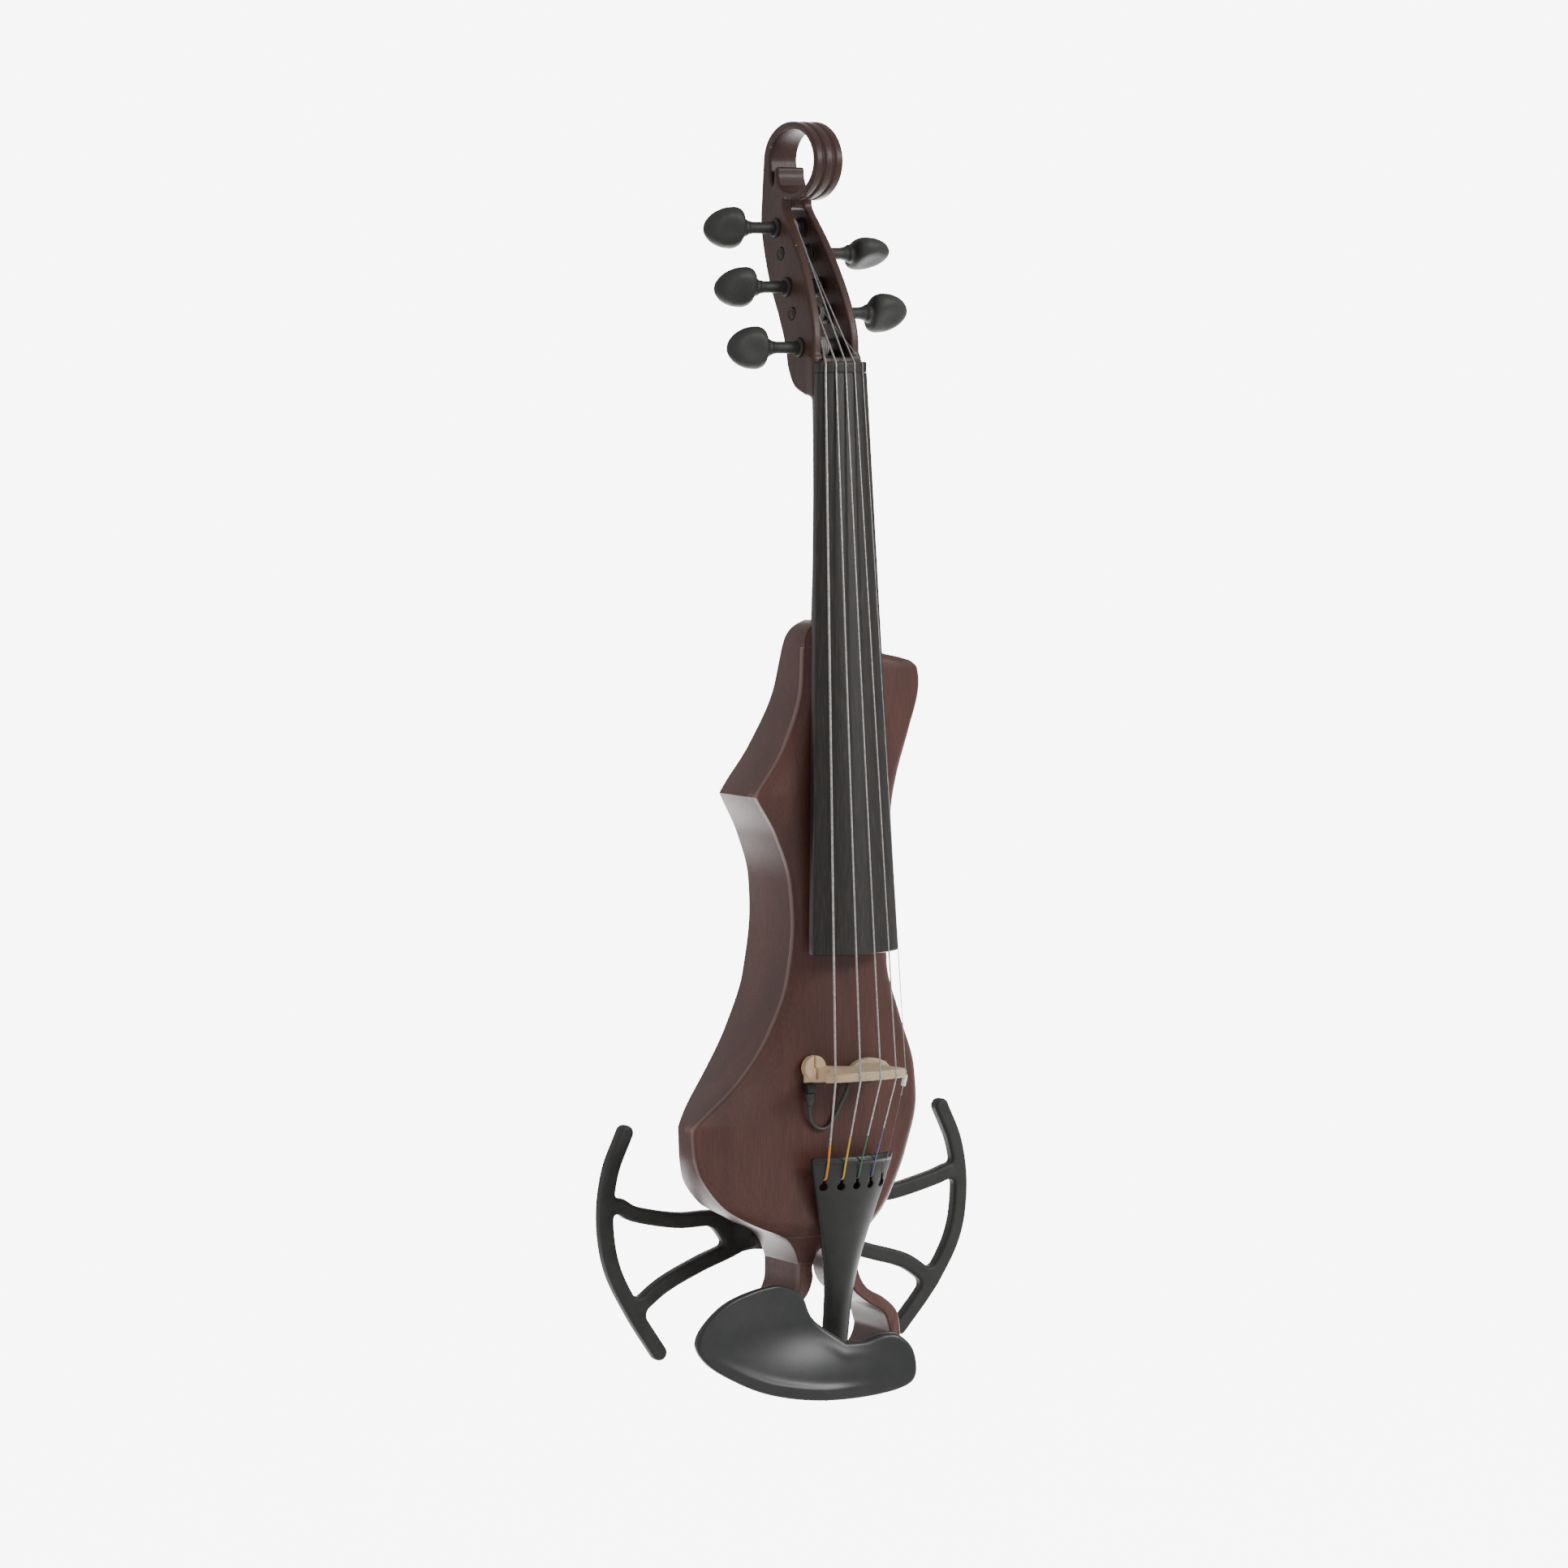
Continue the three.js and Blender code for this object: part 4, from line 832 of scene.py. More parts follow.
def head_field(x, y, z):
    """Pegbox and scroll: a side outline of varying width, ridged round the scroll's outside."""
    groove = 0.8 * np.exp(-(((np.abs(x) - 2.7) / 0.75) ** 2)) * ease((z - 398) / 8)
    side = outline(head_outline(), y, z)
    ring = both(side + groove, -outline(scroll_hole(), y, z), 0.9)
    half = cheek_half(z)
    solid = both(ring, np.abs(x) - half, 1.3)
    slot = both(both(np.abs(x) - (half - CHEEK), SLOT_Z[0] - z, 2.0), z - SLOT_Z[1], 2.0)
    solid = without(solid, slot, 0.8)
    for side_x, peg_z, peg_y, _ in PEGS:
        reach = np.hypot(y - peg_y, z - peg_z)
        solid = without(solid, np.maximum(reach - 4.3, -side_x * x), 0.3)
        solid = without(solid, np.maximum(reach - 3.0, side_x * x), 0.3)
    return solid


def shaft_field(x, y, z):
    """The neck's round back, and the spine that carries it along the soundboard."""
    flat = board_back_y(z) + SEAM
    half, depth = shaft_half(z), shaft_depth(z)
    reach = np.sqrt((x / half) ** 2 + (np.maximum(y - flat, 0) / depth) ** 2)
    round_back = both((reach - 1) * np.minimum(half, depth), flat - y, 0.4)
    round_back = both(round_back, between(z, 150, 334), 0.4)
    spine = both(np.abs(x) - 10.5, between(y, flat, 4.2), 0.4)
    return np.minimum(round_back, both(spine, between(z, 92, BODY_TOP_Z), 0.4))


def make_neck(wood):
    axes = [np.arange(-15.6, 15.7, 0.4), np.arange(-9, 62, 0.45),
            np.concatenate([np.arange(90, 308, 1.6), np.arange(308.2, 446, 0.45)])]

    def field(x, y, z):
        return either(head_field(x, y, z), shaft_field(x, y, z), 2.5)

    make("neck_and_scroll", skin_on(field, axes), ["neck"], wood, sharp=50)


def make_fingerboard(wood):
    def section(z, shrink=0.0):
        half = board_half(z) - shrink
        x = np.linspace(-half, half, 29)
        top = board_edge_y(z) - sagitta(half, BOARD_RADIUS) + sagitta(x, BOARD_RADIUS) + shrink
        back = board_back_y(z)
        flat = np.concatenate([np.stack([x, top], 1), [(half - 0.6, back), (-half + 0.6, back)]])
        flat = soften(flat, 0.45, closed=True, steps=2)
        return np.stack([flat[:, 0], flat[:, 1], np.full(len(flat), z)], 1)

    levels = np.linspace(BOARD_END_Z + 0.4, NUT_Z - 0.05, 46)
    rings = [section(BOARD_END_Z, 0.4)] + [section(z) for z in levels]
    make("ebony_board", loft(rings), ["fingerboard"], wood, sharp=50)

    def nut_field(x, y, z):
        half = BOARD_NUT_HALF - 0.3
        top = NUT_EDGE_Y - sagitta(half, BOARD_RADIUS) + sagitta(np.clip(x, -half, half), BOARD_RADIUS)
        solid = both(np.abs(x) - half, np.abs(z - NUT_Z - NUT_LENGTH / 2) - NUT_LENGTH / 2, 0.4)
        solid = both(solid, between(y, top, 5.0), 0.6)
        for string_x, r in zip(STRING_X_NUT, STRING_RADIUS):
            dent = np.hypot(x - string_x, y - (nut_top_y(string_x) - 0.2 * r)) - r - 0.08
            solid = without(solid, dent, 0.1)
        return solid

    make("top_nut", skin(nut_field, (-13.5, -5, 327), (13.5, 5, 332), 0.3), ["nut"], wood)


def nut_top_y(x):
    half = BOARD_NUT_HALF - 0.3
    return float(NUT_EDGE_Y - sagitta(half, BOARD_RADIUS) + sagitta(x, BOARD_RADIUS))


# ------------ bridge, pickup lead and tailpiece
def treble_drop(x):
    return TREBLE_DROP * np.clip(np.asarray(x, float) / 20, 0, 1) ** 2


def bridge_top_y(x):
    return float(-(BRIDGE_HEIGHT - sagitta(x, BRIDGE_RADIUS) - treble_drop(x)))


def bridge_outline():
    side = curve([(22, 0.2), (22.4, 3), (17.5, 6.5), (15.6, 11), (17.5, 15.5), (22, 19.5), (21.6, 23.4)], 8)
    crown = arc(0, BRIDGE_HEIGHT - BRIDGE_RADIUS, BRIDGE_RADIUS, BRIDGE_RADIUS, 0.82, math.pi - 0.82, 40)
    arch = curve([(-11, 0.2), (-9.5, 5.5), (0, 11), (9.5, 5.5), (11, 0.2)], 8)
    p = np.concatenate([side, crown, side[::-1] * [-1, 1], arch])
    p[:, 1] -= treble_drop(p[:, 0]) * np.clip(p[:, 1] / 20, 0, 1)
    return p


def bridge_field(x, y, z):
    up = np.clip(-y / BRIDGE_HEIGHT, 0, 1)
    low = mix(BRIDGE_FOOT[0], BRIDGE_CROWN[0], up)
    thick = mix(BRIDGE_FOOT[1], BRIDGE_CROWN[1], up)
    thick = thick * (1 - 0.5 * up * ease((np.abs(x) - 8) / 15))
    blade = both(outline(bridge_outline(), x, -y), np.abs(z - low - thick / 2) - thick / 2, 0.7)
    pad_layer = np.abs(y + 2.5) - 2.1
    left_pad = both(np.hypot(x + 17.7, z - 4.4) - 5.8, pad_layer, 0.5)
    right_pad = both(np.hypot((x - 12.5) * 0.7, z + 1.5) - 8.6, np.maximum(pad_layer, 1 - z), 0.5)
    blade = np.minimum(blade, np.minimum(left_pad, right_pad))
    slit = both(np.abs(x + 19.2 + 0.25 * y) - 0.35, np.maximum(-y - 6.6, -0.6 - z), 0.1)
    return without(blade, slit, 0.15)


def make_bridge(maple):
    shape = skin(bridge_field, (-25, -34, -4), (27, 0.3, 11), 0.36)
    make("maple_bridge", shape, ["bridge"], maple)


LEAD_ROUTE = [
    (-20.6, -3.6, -12.9), (-20.5, -3.3, -14.8), (-20.1, -2.8, -17.2), (-19.2, -2.2, -19.8),
    (-17.6, -1.7, -22.2), (-15.2, -1.5, -24.1), (-12.3, -1.5, -24.9), (-9.5, -1.5, -24.1),
    (-7.2, -1.5, -22), (-5.5, -1.7, -19.2), (-4.1, -2.1, -16.2), (-2.8, -2.7, -13.1),
    (-1.6, -3.5, -10.2), (-0.6, -4.0, -7.4), (0.1, -3.7, -5.0), (0.4, -2.3, -3.1),
    (0.4, -0.2, -2.4), (0.4, 1.8, -2.4),
]
LEAD_DIAMETER = 1.8


def lead_line():
    return curve(LEAD_ROUTE, 4)


def make_lead(rubber):
    """The pickup's lead: out of its sleeve, down in a loop and back into the soundboard."""
    line = lead_line()
    piece = make("pickup_cable", tube(line, LEAD_DIAMETER / 2, 16), ["pickup_lead"], rubber)


def make_pickup(black, rubber):
    sleeve = [(0, -12.9), (1.15, -12.9), (1.3, -12.3), (1.9, -11), (1.9, -7.3), (0, -7.3)]
    make("cable_sleeve", turned(soften(sleeve, 0.3), (0, 0, 1), (*LEAD_ROUTE[0][:2], 0), 28), ["lead_sleeve"],
         rubber)
    make("pickup_block", rounded_block((-23, -6.2, -7), (-18.2, -1.2, -3), 0.5), ["bridge_pickup"], black)
    grommet = [(1.0, -1.4), (3.4, -1.4), (3.4, -0.5), (2.6, -0.5), (2.6, 4), (1.0, 4)]
    make("cable_grommet", turned(soften(grommet, 0.4, closed=True), (0, 1, 0), (0.4, 0, -2.4), 32),
         ["lead_grommet"], rubber)


TAIL_TOP_Z, TAIL_END_Z, TAIL_RIDGE_Z = -37, -143.4, -39.2
KEYHOLE_TOP, KEYHOLE_Z = -47, -51.2
tail_half = smooth([(TAIL_TOP_Z, 22.5), (-108, 7.4), (-140, 6.6), (TAIL_END_Z, 5)])
tail_edge_y = smooth([(TAIL_TOP_Z, -9), (-108, 3.4), (TAIL_END_Z, 8.2)])


def tail_front_y(x, z):
    crown = mix(5.8, 2.2, np.clip((TAIL_TOP_Z - z) / 100, 0, 1))
    return tail_edge_y(z) - crown * (1 - (x / tail_half(z)) ** 2)


def tailpiece_field(x, y, z):
    inside = np.clip(np.abs(x), 0, tail_half(z))
    front = tail_front_y(inside, z)
    crown = tail_edge_y(z) - tail_front_y(0, z)
    back = np.maximum(front + 2.6, tail_edge_y(z) + 2.4 - crown * 0.55)
    ends = between(z, TAIL_END_Z, TAIL_TOP_Z)
    solid = both(both(np.abs(x) - tail_half(z), ends, 2.0), between(y, front, back), 0.7)
    ridge = both(np.hypot(y - front - 0.35, z - TAIL_RIDGE_Z) - 1.25, np.abs(x) - tail_half(z) + 1.2, 0.4)
    solid = either(solid, ridge, 0.3)
    for string_x in STRING_X_TAIL:
        slot = bar_field([(string_x, KEYHOLE_TOP), (string_x, KEYHOLE_Z)], x, z, 0.65)
        solid = without(solid, np.minimum(slot, np.hypot(x - string_x, z - KEYHOLE_Z) - 1.8), 0.3)
    return solid


def make_tailpiece(black, gut_black, ebony, steel):
    shape = skin(tailpiece_field, (-23, -16, -144), (23, 12, -36), 0.42)
    make("string_holder", shape, ["tailpiece"], black)
    front, under = 6.6, -155.2
    strand = np.array([(3.4, 7.4, -143.6), (3.4, front, -147), (3.4, front, -153.6), (3.4, 8.4, under),
                       (3.4, 21, under), (2, 24.2, under)])
    way = soften(np.concatenate([strand * [-1, 1, 1], strand[::-1]]), 1.6)
    make("gut_loop", tube(way, 0.9), ["tail_gut"], gut_black)
    make("saddle", rounded_block((-6, 7.9, -153), (6, 10.1, -147.2), 0.8), ["tail_saddle"], ebony)
    pin = [(0, -156.8), (2.4, -156.8), (1.8, -156.3), (1.8, -149), (0, -149)]
    make("end_pin", turned(soften(pin, 0.3), (0, 0, 1), (0, 21, 0), 32), ["tail_pin"], steel)


# ------------ strings and pegs
def string_line(i):
    """A string from its keyhole over the ridge, the bridge and the nut, to its drum."""
    r = STRING_RADIUS[i]
    tail_x, bridge_x, nut_x = STRING_X_TAIL[i], STRING_X_BRIDGE[i], STRING_X_NUT[i]
    surface = float(tail_front_y(tail_x, KEYHOLE_TOP))
    ridge = float(tail_front_y(tail_x, TAIL_RIDGE_Z)) - 1.0 - r
    crown = bridge_top_y(bridge_x) - 0.75 * r
    nut_y = nut_top_y(nut_x) - 0.3 * r
    _, peg_z, peg_y, _ = PEGS[i]
    points = [(tail_x, surface + 2.2, KEYHOLE_TOP - 0.9), (tail_x, surface - r, KEYHOLE_TOP - 0.2),
              (mix(tail_x, bridge_x, 0.12), ridge, TAIL_RIDGE_Z), (bridge_x, crown, STRING_KINK_Z),
              (nut_x, nut_y, NUT_Z + 0.4), (nut_x * 0.99, nut_y, NUT_Z + NUT_LENGTH - 0.4),
              (WINDING_X[i] + 0.02, peg_y - DRUM_RADIUS - r, peg_z)]
    return soften(points, 1.4, steps=5)


def winding_line(i):
    """The turns of string on the drum, starting where the straight string meets it."""
    _, peg_z, peg_y, _ = PEGS[i]
    r = STRING_RADIUS[i]
    turns = 3.6 if r > 0.3 else 6.0
    reach = DRUM_RADIUS + r
    t = np.linspace(0, turns * 2 * math.pi, int(turns * 28))
    x = WINDING_X[i] - (t / (2 * math.pi)) * 2.05 * r * (-1 if WINDING_X[i] < 0 else 1)
    return np.stack([x, peg_y - reach * np.cos(t), peg_z + reach * np.sin(t)], 1)


SILK = [  # colour at the tail, where it starts, colour at the peg
    ((0.80, 0.34, 0.05), -30.0, (0.42, 0.4, 0.37)),
    ((0.78, 0.52, 0.08), -26.5, (0.4, 0.38, 0.36)),
    ((0.08, 0.2, 0.11), -26.5, (0.36, 0.37, 0.36)),
    ((0.16, 0.16, 0.34), -23.5, (0.38, 0.37, 0.38)),
    ((0.25, 0.12, 0.16), -9.0, (0.42, 0.41, 0.4)),
]


def make_strings(white):
    for i, (silk, top, head) in enumerate(SILK):
        metal = ("steel", string_metal(f"string_metal_{i + 1}", silk, top, head))
        make(f"wire_{i + 1}", tube(string_line(i), STRING_RADIUS[i]), [f"string_{i + 1}"], metal)
        make(f"wire_turns_{i + 1}", tube(winding_line(i), STRING_RADIUS[i], 10), [f"string_winding_{i + 1}"],
             metal, body=f"peg_drum_{i + 1}")
    top_x, tail_x = STRING_X_BRIDGE[-1], STRING_X_TAIL[-1]
    kink = np.array([top_x, bridge_top_y(top_x) - 0.2, STRING_KINK_Z])
    down = np.array([tail_x, float(tail_front_y(tail_x, TAIL_RIDGE_Z)) - 1.2, TAIL_RIDGE_Z]) - kink
    profile = [(0.35, 0.6), (1.0, 0.6), (1.15, 1.6), (1.15, 6.0), (0.35, 6.0)]
    make("e_sleeve", turned(soften(profile, 0.3, closed=True), down, kink, 24), ["e_string_sleeve"], white)


head_width = smooth([(10.4, 1.4), (9.8, 2.8), (8.5, 4.6), (6, 6.9), (3, 8.5), (-1, 9.7), (-5, 10), (-8, 9.2),
                     (-9.7, 7.4), (-10.4, 5.6)])


def peg_head_shape(side, z, y, turn):
    """Round shank, flared collar and a dished egg-shaped thumb piece, along the peg's axis."""
    s = SHANK_LENGTH
    start = float(cheek_half(z))
    collar = np.array([(-4, SHANK_RADIUS), (s - 5.5, SHANK_RADIUS), (s - 2.5, 3.4), (s - 1.4, 4.2),
                       (s + 2, 4.4), (s + 6, 3)])

    def field(px, py, pz):
        d = side * px - start
        across = np.hypot(py - y, pz - z)
        stem = both(across - np.interp(d, collar[:, 0], collar[:, 1]), between(d, -3.6, s + 6), 0.3)
        v = (py - y) * math.cos(turn) + (pz - z) * math.sin(turn)
        w = -(py - y) * math.sin(turn) + (pz - z) * math.cos(turn)
        u = d - (s + 10.6)
        wide = head_width(np.clip(u, -10.4, 10.4))
        reach = np.sqrt((v / (wide * 0.62)) ** 2 + (w / wide) ** 2)
        leaf = (reach - 1) * wide * 0.62
        leaf = both(leaf, np.abs(u) - 10.4, 1.0)
        for sign in (-1, 1):
            dish = 30 - np.sqrt((u - 2) ** 2 + (v - sign * 34.4) ** 2 + (w * 0.8) ** 2)
            leaf = both(leaf, dish, 1.2)
        return either(stem, leaf, 1.2)

    low = [min(side * (start - 4), side * (start + s + 22)), y - 11, z - 11]
    high = [max(side * (start - 4), side * (start + s + 22)), y + 11, z + 11]
    return skin(field, low, high, 0.42)


def make_pegs(soft_black):
    for k, (side, z, y, turn) in enumerate(PEGS, 1):
        out = (side, 0, 0)
        start = float(cheek_half(z))
        at = (side * start, y, z)
        make(f"thumb_piece_{k}", peg_head_shape(side, z, y, turn), [f"peg_head_{k}"], soft_black,
             body=f"peg_head_{k}")
        bore = SHANK_RADIUS + 0.15
        casing = [(bore, 1.6), (3.8, 1.6), (4.5, 1.0), (4.5, 0.1), (4.25, 0.1), (4.25, -3.7), (bore, -3.7)]
        make(f"peg_collar_{k}", turned(soften(casing, 0.3, closed=True), out, at), [f"peg_casing_{k}"],
             soft_black)
        far, near = -2 * start, -CHEEK
        rim_radius = DRUM_RADIUS + 0.9
        drum = [(0, far - 0.5), (1.2, far - 0.5), (1.5, far - 0.1), (2.1, far - 0.1), (2.4, far - 0.4),
                (2.75, far), (2.75, far + CHEEK + 0.8), (rim_radius, far + CHEEK + 0.9),
                (rim_radius, far + CHEEK + 1.5), (DRUM_RADIUS, far + CHEEK + 1.9), (DRUM_RADIUS, near - 1.9),
                (rim_radius, near - 1.5), (rim_radius, near - 0.9), (0, near - 0.8)]
        make(f"drum_{k}", turned(soften(drum, 0.25), out, at), [f"peg_drum_{k}"], soft_black,
             body=f"peg_drum_{k}")


# ------------ chin rest and shoulder wings
def rest_outline():
    return curve([(-14, -121.5), (-29, -110.5), (-36, -99), (-44, -94), (-56, -91.5), (-78, -96.5),
                  (-91.5, -106), (-96.5, -115), (-91.5, -124), (-79, -132.5), (-59, -141.5), (-34, -146.8),
                  (-8, -147.8), (14, -145.4), (22, -140), (21, -128), (14, -120.5), (6, -119.2),
                  (-4, -121.5), (-14, -121.5)], 6)[:-1]


def post_shape(side):
    """A square post with rounded edges, leaning inwards at its plate end so that the plate covers it."""
    rings = []
    for y in np.linspace(REST_BACK_Y - 0.1, TAIL_FRONT_Y, 20):
        near_plate = 1 - float(ease((y - REST_BACK_Y) / 13))
        x, z = side * (POST_X - 2.6 * near_plate), POST_Z + 2.4 * near_plate
        half = POST_HALF - 0.6 * near_plate
        square = [(x - half, z - half), (x + half, z - half), (x + half, z + half), (x - half, z + half)]
        flat = soften(square, 1.5, closed=True)
        rings.append(np.stack([flat[:, 0], np.full(len(flat), y), flat[:, 1]], 1))
    return loft(rings)


def make_chin_rest(gloss, black, steel):
    def field(x, y, z):
        edge = outline(rest_outline(), x, z)
        bowl = 8.5 * np.exp(-(((x + 36) / 44) ** 2) - ((z + 110) / 20) ** 2)
        lip = 1.0 * ease((-118 - z) / 22) * ease((6 - x) / 34) * np.exp(-(((edge + 5.0) / 2.4) ** 2))
        front = REST_FRONT_Y + 1.4 + bowl - lip
        back = REST_BACK_Y + 0.75 * bowl - 1.2 * ease((edge + 8) / 8)
        return both(edge, between(y, front, back), 1.9)

    shape = skin(field, (-98, -34, -149), (24, -16, -90), 0.55)
    make("chin_plate", shape, ["chin_rest"], gloss, sharp=60)
    for name, s in (("left", -1), ("right", 1)):
        x = s * POST_X
        make(f"rest_post_{name}", post_shape(s), [f"chin_rest_post_{name}"], black)
        profile = [(0, -10), (1.5, -10), (1.5, 43.3), (3.3, 43.3), (3.3, 45.6), (1.5, 45.6), (1.3, 44.4),
                   (0, 44.4)]
        make(f"rest_screw_{name}", turned(soften(profile, 0.25), (0, 1, 0), (x, 0, POST_Z), 32),
             [f"chin_rest_screw_{name}"], steel)


def wing_field(s):
    """A flat open frame: an outer bar, two struts, and the web and hub where they meet."""
    spread = WING_OPEN if s > 0 else 0
    low = spread / 2
    lines = [curve([(-88, -27.5), (-96, -46), (-98.8, -68), (-95, -91), (-83.5 + 0.4 * spread, -113),
                    (-70 + 1.4 * spread, -133)], 10),
             curve([(-91, -61.8 + low), (-82, -66.5 + spread), (-60, -71 + spread), (-40, -71.5 + spread),
                    (-16, -75)], 10),
             curve([(-80.5, -110), (-67, -101), (-48, -93 - low), (-30, -87 - low), (-14, -80)], 10)]
    pad = curve([(-2, -70.5), (-20, -70), (-28, -74), (-28, -84), (-20, -88), (-2, -87), (-2, -70.5)], 5)
    fork = np.array([(-41, -75 + spread), (-20, -74), (-20, -86), (-33, -86 - low)])

    def field(x, y, z):
        u = s * x
        bars = None
        for line in lines:
            reach = bar_field(line * [-1, 1], u, z, WING_BAR / 2)
            bars = reach if bars is None else either(bars, reach, 4.0)
        web = outline(fork * [-1, 1], u, z)
        bars = either(bars, web, 3.0)
        frame_plate = both(bars, between(y, *WING_Y), 1.7)
        narrowing = 1.5 * np.maximum(WING_Y[0] + 1 - y, 0)
        hub = both(outline(pad[:-1] * [-1, 1], u, z) + narrowing, between(y, HUB_FRONT, WING_Y[1]), 1.2)
        whole = either(frame_plate, hub, 2.5)
        return without(whole, np.hypot(x - s * HUB_X, z - HUB_Z) - 2.7, 0.3)

    return field


def make_wings(soft_black, steel):
    for name, s in (("left", -1), ("right", 1)):
        low = [min(s * 1, s * 104), HUB_FRONT, -138]
        high = [max(s * 1, s * 104), WING_Y[1], -23]
        make(f"shoulder_{name}", skin(wing_field(s), low, high, 0.6), [f"wing_{name}"], soft_black, sharp=60)
        profile = [(0, 30), (2.5, 30), (2.5, 55.4), (4.6, 55.4), (4.6, 58.4), (2.0, 58.4), (1.9, 56.8),
                   (0, 56.8)]
        make(f"hub_bolt_{name}", turned(soften(profile, 0.35), (0, 1, 0), (s * HUB_X, 0, HUB_Z), 36),
             [f"wing_bolt_{name}"], steel)


# ------------ covers, knobs and jack
def make_controls(black, steel):
    x0, x1, z0, z1 = COVER
    d0, d1, e0, e1 = DOOR

    def cover_field(x, y, z):
        sheet = both(between(x, x0, x1), between(z, z0, z1), 2.0)
        sheet = both(sheet, between(y, *COVER_Y), 0.4)
        door = both(between(x, d0 - 0.4, d1 + 0.4), between(z, e0 - 0.4, e1 + 0.4), 0.8)
        sheet = without(sheet, door, 0.3)
        for knob_x in KNOBS.values():
            sheet = without(sheet, np.hypot(x - knob_x, z - KNOB_Z) - 3.4, 0.3)
        return sheet

    make("control_plate", skin(cover_field, (x0, COVER_Y[0], z0), (x1, COVER_Y[1], z1), (0.5, 0.25, 0.5)),
         ["back_cover"], black)

    def door_field(x, y, z):
        lid = both(between(x, d0, d1), between(z, e0, e1), 0.8)
        lid = both(lid, between(y, *COVER_Y), 0.4)
        return without(lid, both(np.hypot(x + 1, z - e1 + 1.5) - 4.5, COVER_Y[1] - 0.9 - y, 0.3), 0.3)

    make("battery_lid", skin(door_field, (d0, COVER_Y[0], e0), (d1, COVER_Y[1], e1), (0.45, 0.25, 0.45)),
         ["battery_door"], black, body="battery_door")

    for name, x in KNOBS.items():
        profile = soften([(3.3, 48.8), (8.4, 48.8), (8.4, 50), (7.5, 55.2), (6.6, 55.9), (5.6, 55.5),
                          (0, 55.5), (0, 53.6), (3.3, 53.6)], 0.35)
        points, faces = turned(list(profile) + [profile[0]], (0, 1, 0), (x, 0, KNOB_Z), 96)
        reach = np.hypot(points[:, 0] - x, points[:, 2] - KNOB_Z)
        angle = np.arctan2(points[:, 2] - KNOB_Z, points[:, 0] - x)
        side_part = (reach > 7.2) & (points[:, 1] > 49.6)
        shrink = np.where(side_part & (np.cos(24 * angle) > 0.2), 0.965, 1.0)
        points[:, 0] = x + (points[:, 0] - x) * shrink
        points[:, 2] = KNOB_Z + (points[:, 2] - KNOB_Z) * shrink
        make(f"{name}_dial", (points, faces), [f"{name}_knob"], black, body=f"{name}_knob")

    def jack_field(x, y, z):
        sheet = both(np.abs(y - JACK_Y) - 9.2, np.abs(z - JACK_Z) - 10.2, 2.0)
        sheet = both(sheet, between(x, JACK_FACE_X - 2, JACK_FACE_X), 0.4)
        return without(sheet, np.hypot(y - JACK_Y, z - JACK_Z) - 4.9, 0.3)

    make("socket_plate", skin(jack_field, (JACK_FACE_X - 2, JACK_Y - 9.2, JACK_Z - 10.2),
                              (JACK_FACE_X, JACK_Y + 9.2, JACK_Z + 10.2), (0.25, 0.4, 0.4)),
         ["jack_plate"], black)
    profile = soften([(3.2, 45.6), (4.6, 45.6), (4.7, 45.2), (6.3, 45.2), (6.4, 43.4), (4.7, 43.4),
                      (4.7, 41), (5.9, 41), (5.9, 24.6), (0, 24.6), (0, 26), (3.2, 26)], 0.2)
    make("socket", turned(list(profile) + [profile[0]], (1, 0, 0), (0, JACK_Y, JACK_Z)), ["output_jack"],
         steel)


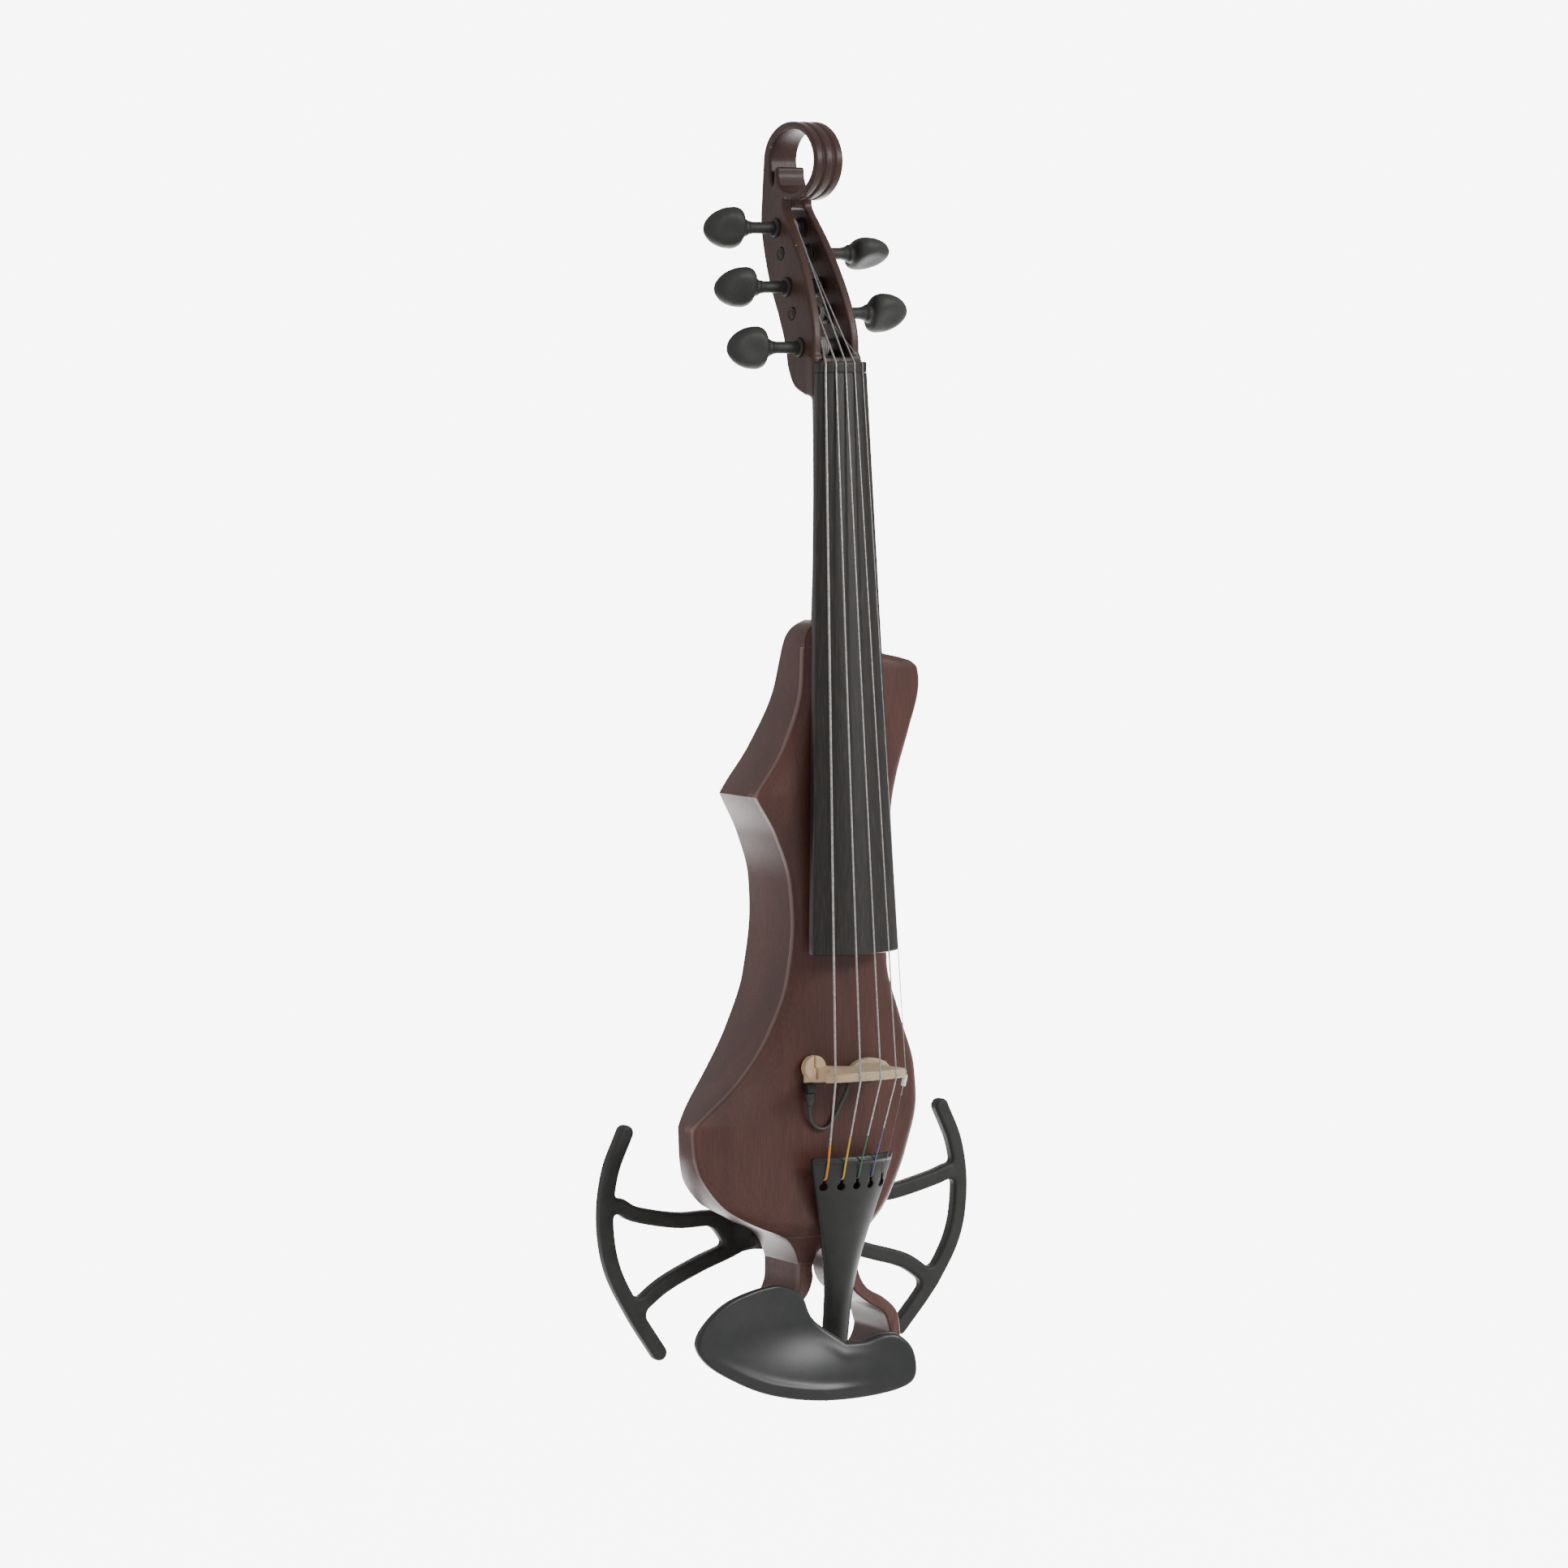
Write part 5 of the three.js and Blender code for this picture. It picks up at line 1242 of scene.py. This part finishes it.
def paint_inner_parts():
    """The pieces inside the body keep their CAD shapes and get materials of their own."""
    board = Paint("green_board")
    lanes = board.add("ShaderNodeTexBrick", Vector=board.place(), Scale=0.35).outputs["Fac"]
    speck = board.noise(scale=1.2, detail=2)
    base = board.ramp(speck, [(0.4, (0.02, 0.11, 0.05)), (0.6, (0.03, 0.16, 0.07))])
    board.set(Base_Color=board.blend(lanes, base, (0.12, 0.3, 0.14)), Roughness=0.4)
    can = Paint("can_metal")
    band = can.noise((1, 4, 1), 0.9, 3)
    can.set(Base_Color=can.ramp(band, [(0.35, (0.3, 0.3, 0.31)), (0.65, (0.5, 0.5, 0.5))]),
            Roughness=can.levels(band, 0.3, 0.5), Metallic=1.0)
    cell = Paint("battery_case")
    tone = cell.noise(scale=0.3, detail=2)
    end = cell.math("GREATER_THAN", cell.height("X"), 16.0)
    case = cell.ramp(tone, [(0.3, (0.02, 0.02, 0.022)), (0.7, (0.05, 0.05, 0.05))])
    cell.set(Base_Color=cell.blend(end, case, (0.35, 0.22, 0.1)), Roughness=0.35)
    for names, paint in ((["circuit_board"], board), (["volume_pot", "tone_pot"], can), (["battery"], cell)):
        for name in names:
            NODES[name].data.materials.clear()
            NODES[name].data.materials.append(paint.material)


# ------------ everything together
def main():
    """The camera and the lead come first, then the studio, the finishes and the instrument."""
    add_camera()
    rubber = ("black_plastic", moulded("lead_rubber", (0.05, 0.047, 0.044), 0.45, 0.02))
    make_lead(rubber)
    add_studio()
    body_stain = stained_wood("red_wood", (0.052, 0.018, 0.013), (0.105, 0.038, 0.028), FRONT_EDGE_HIGHLIGHT)
    neck_stain = stained_wood("neck_wood", (0.036, 0.017, 0.013), (0.076, 0.036, 0.028), HEAD_EDGE_HIGHLIGHT,
                              0.45, 0.05)
    wood, neck_wood = ("red_wood", body_stain), ("red_wood", neck_stain)
    ebony = ("ebony", ebony_wood())
    black = ("black_plastic", moulded("satin_black", (0.018, 0.018, 0.016), 0.4))
    soft_black = ("soft_black", moulded("charcoal", (0.024, 0.024, 0.021), 0.58, 0.08))
    gloss = ("black_plastic", moulded("rest_black", (0.015, 0.0155, 0.016), 0.4, 0.02, coat=0.12))
    white = ("white_plastic", moulded("white_tube", (0.86, 0.85, 0.81), 0.45, 0.02))
    steel = ("steel", brushed_steel())
    make_body(wood)
    make_neck(neck_wood)
    make_fingerboard(ebony)
    make_bridge(("maple", bridge_maple()))
    make_pickup(black, rubber)
    make_tailpiece(black, rubber, ebony, steel)
    make_strings(white)
    make_pegs(soft_black)
    make_chin_rest(gloss, black, steel)
    make_wings(soft_black, steel)
    make_controls(black, steel)
    paint_inner_parts()


main()
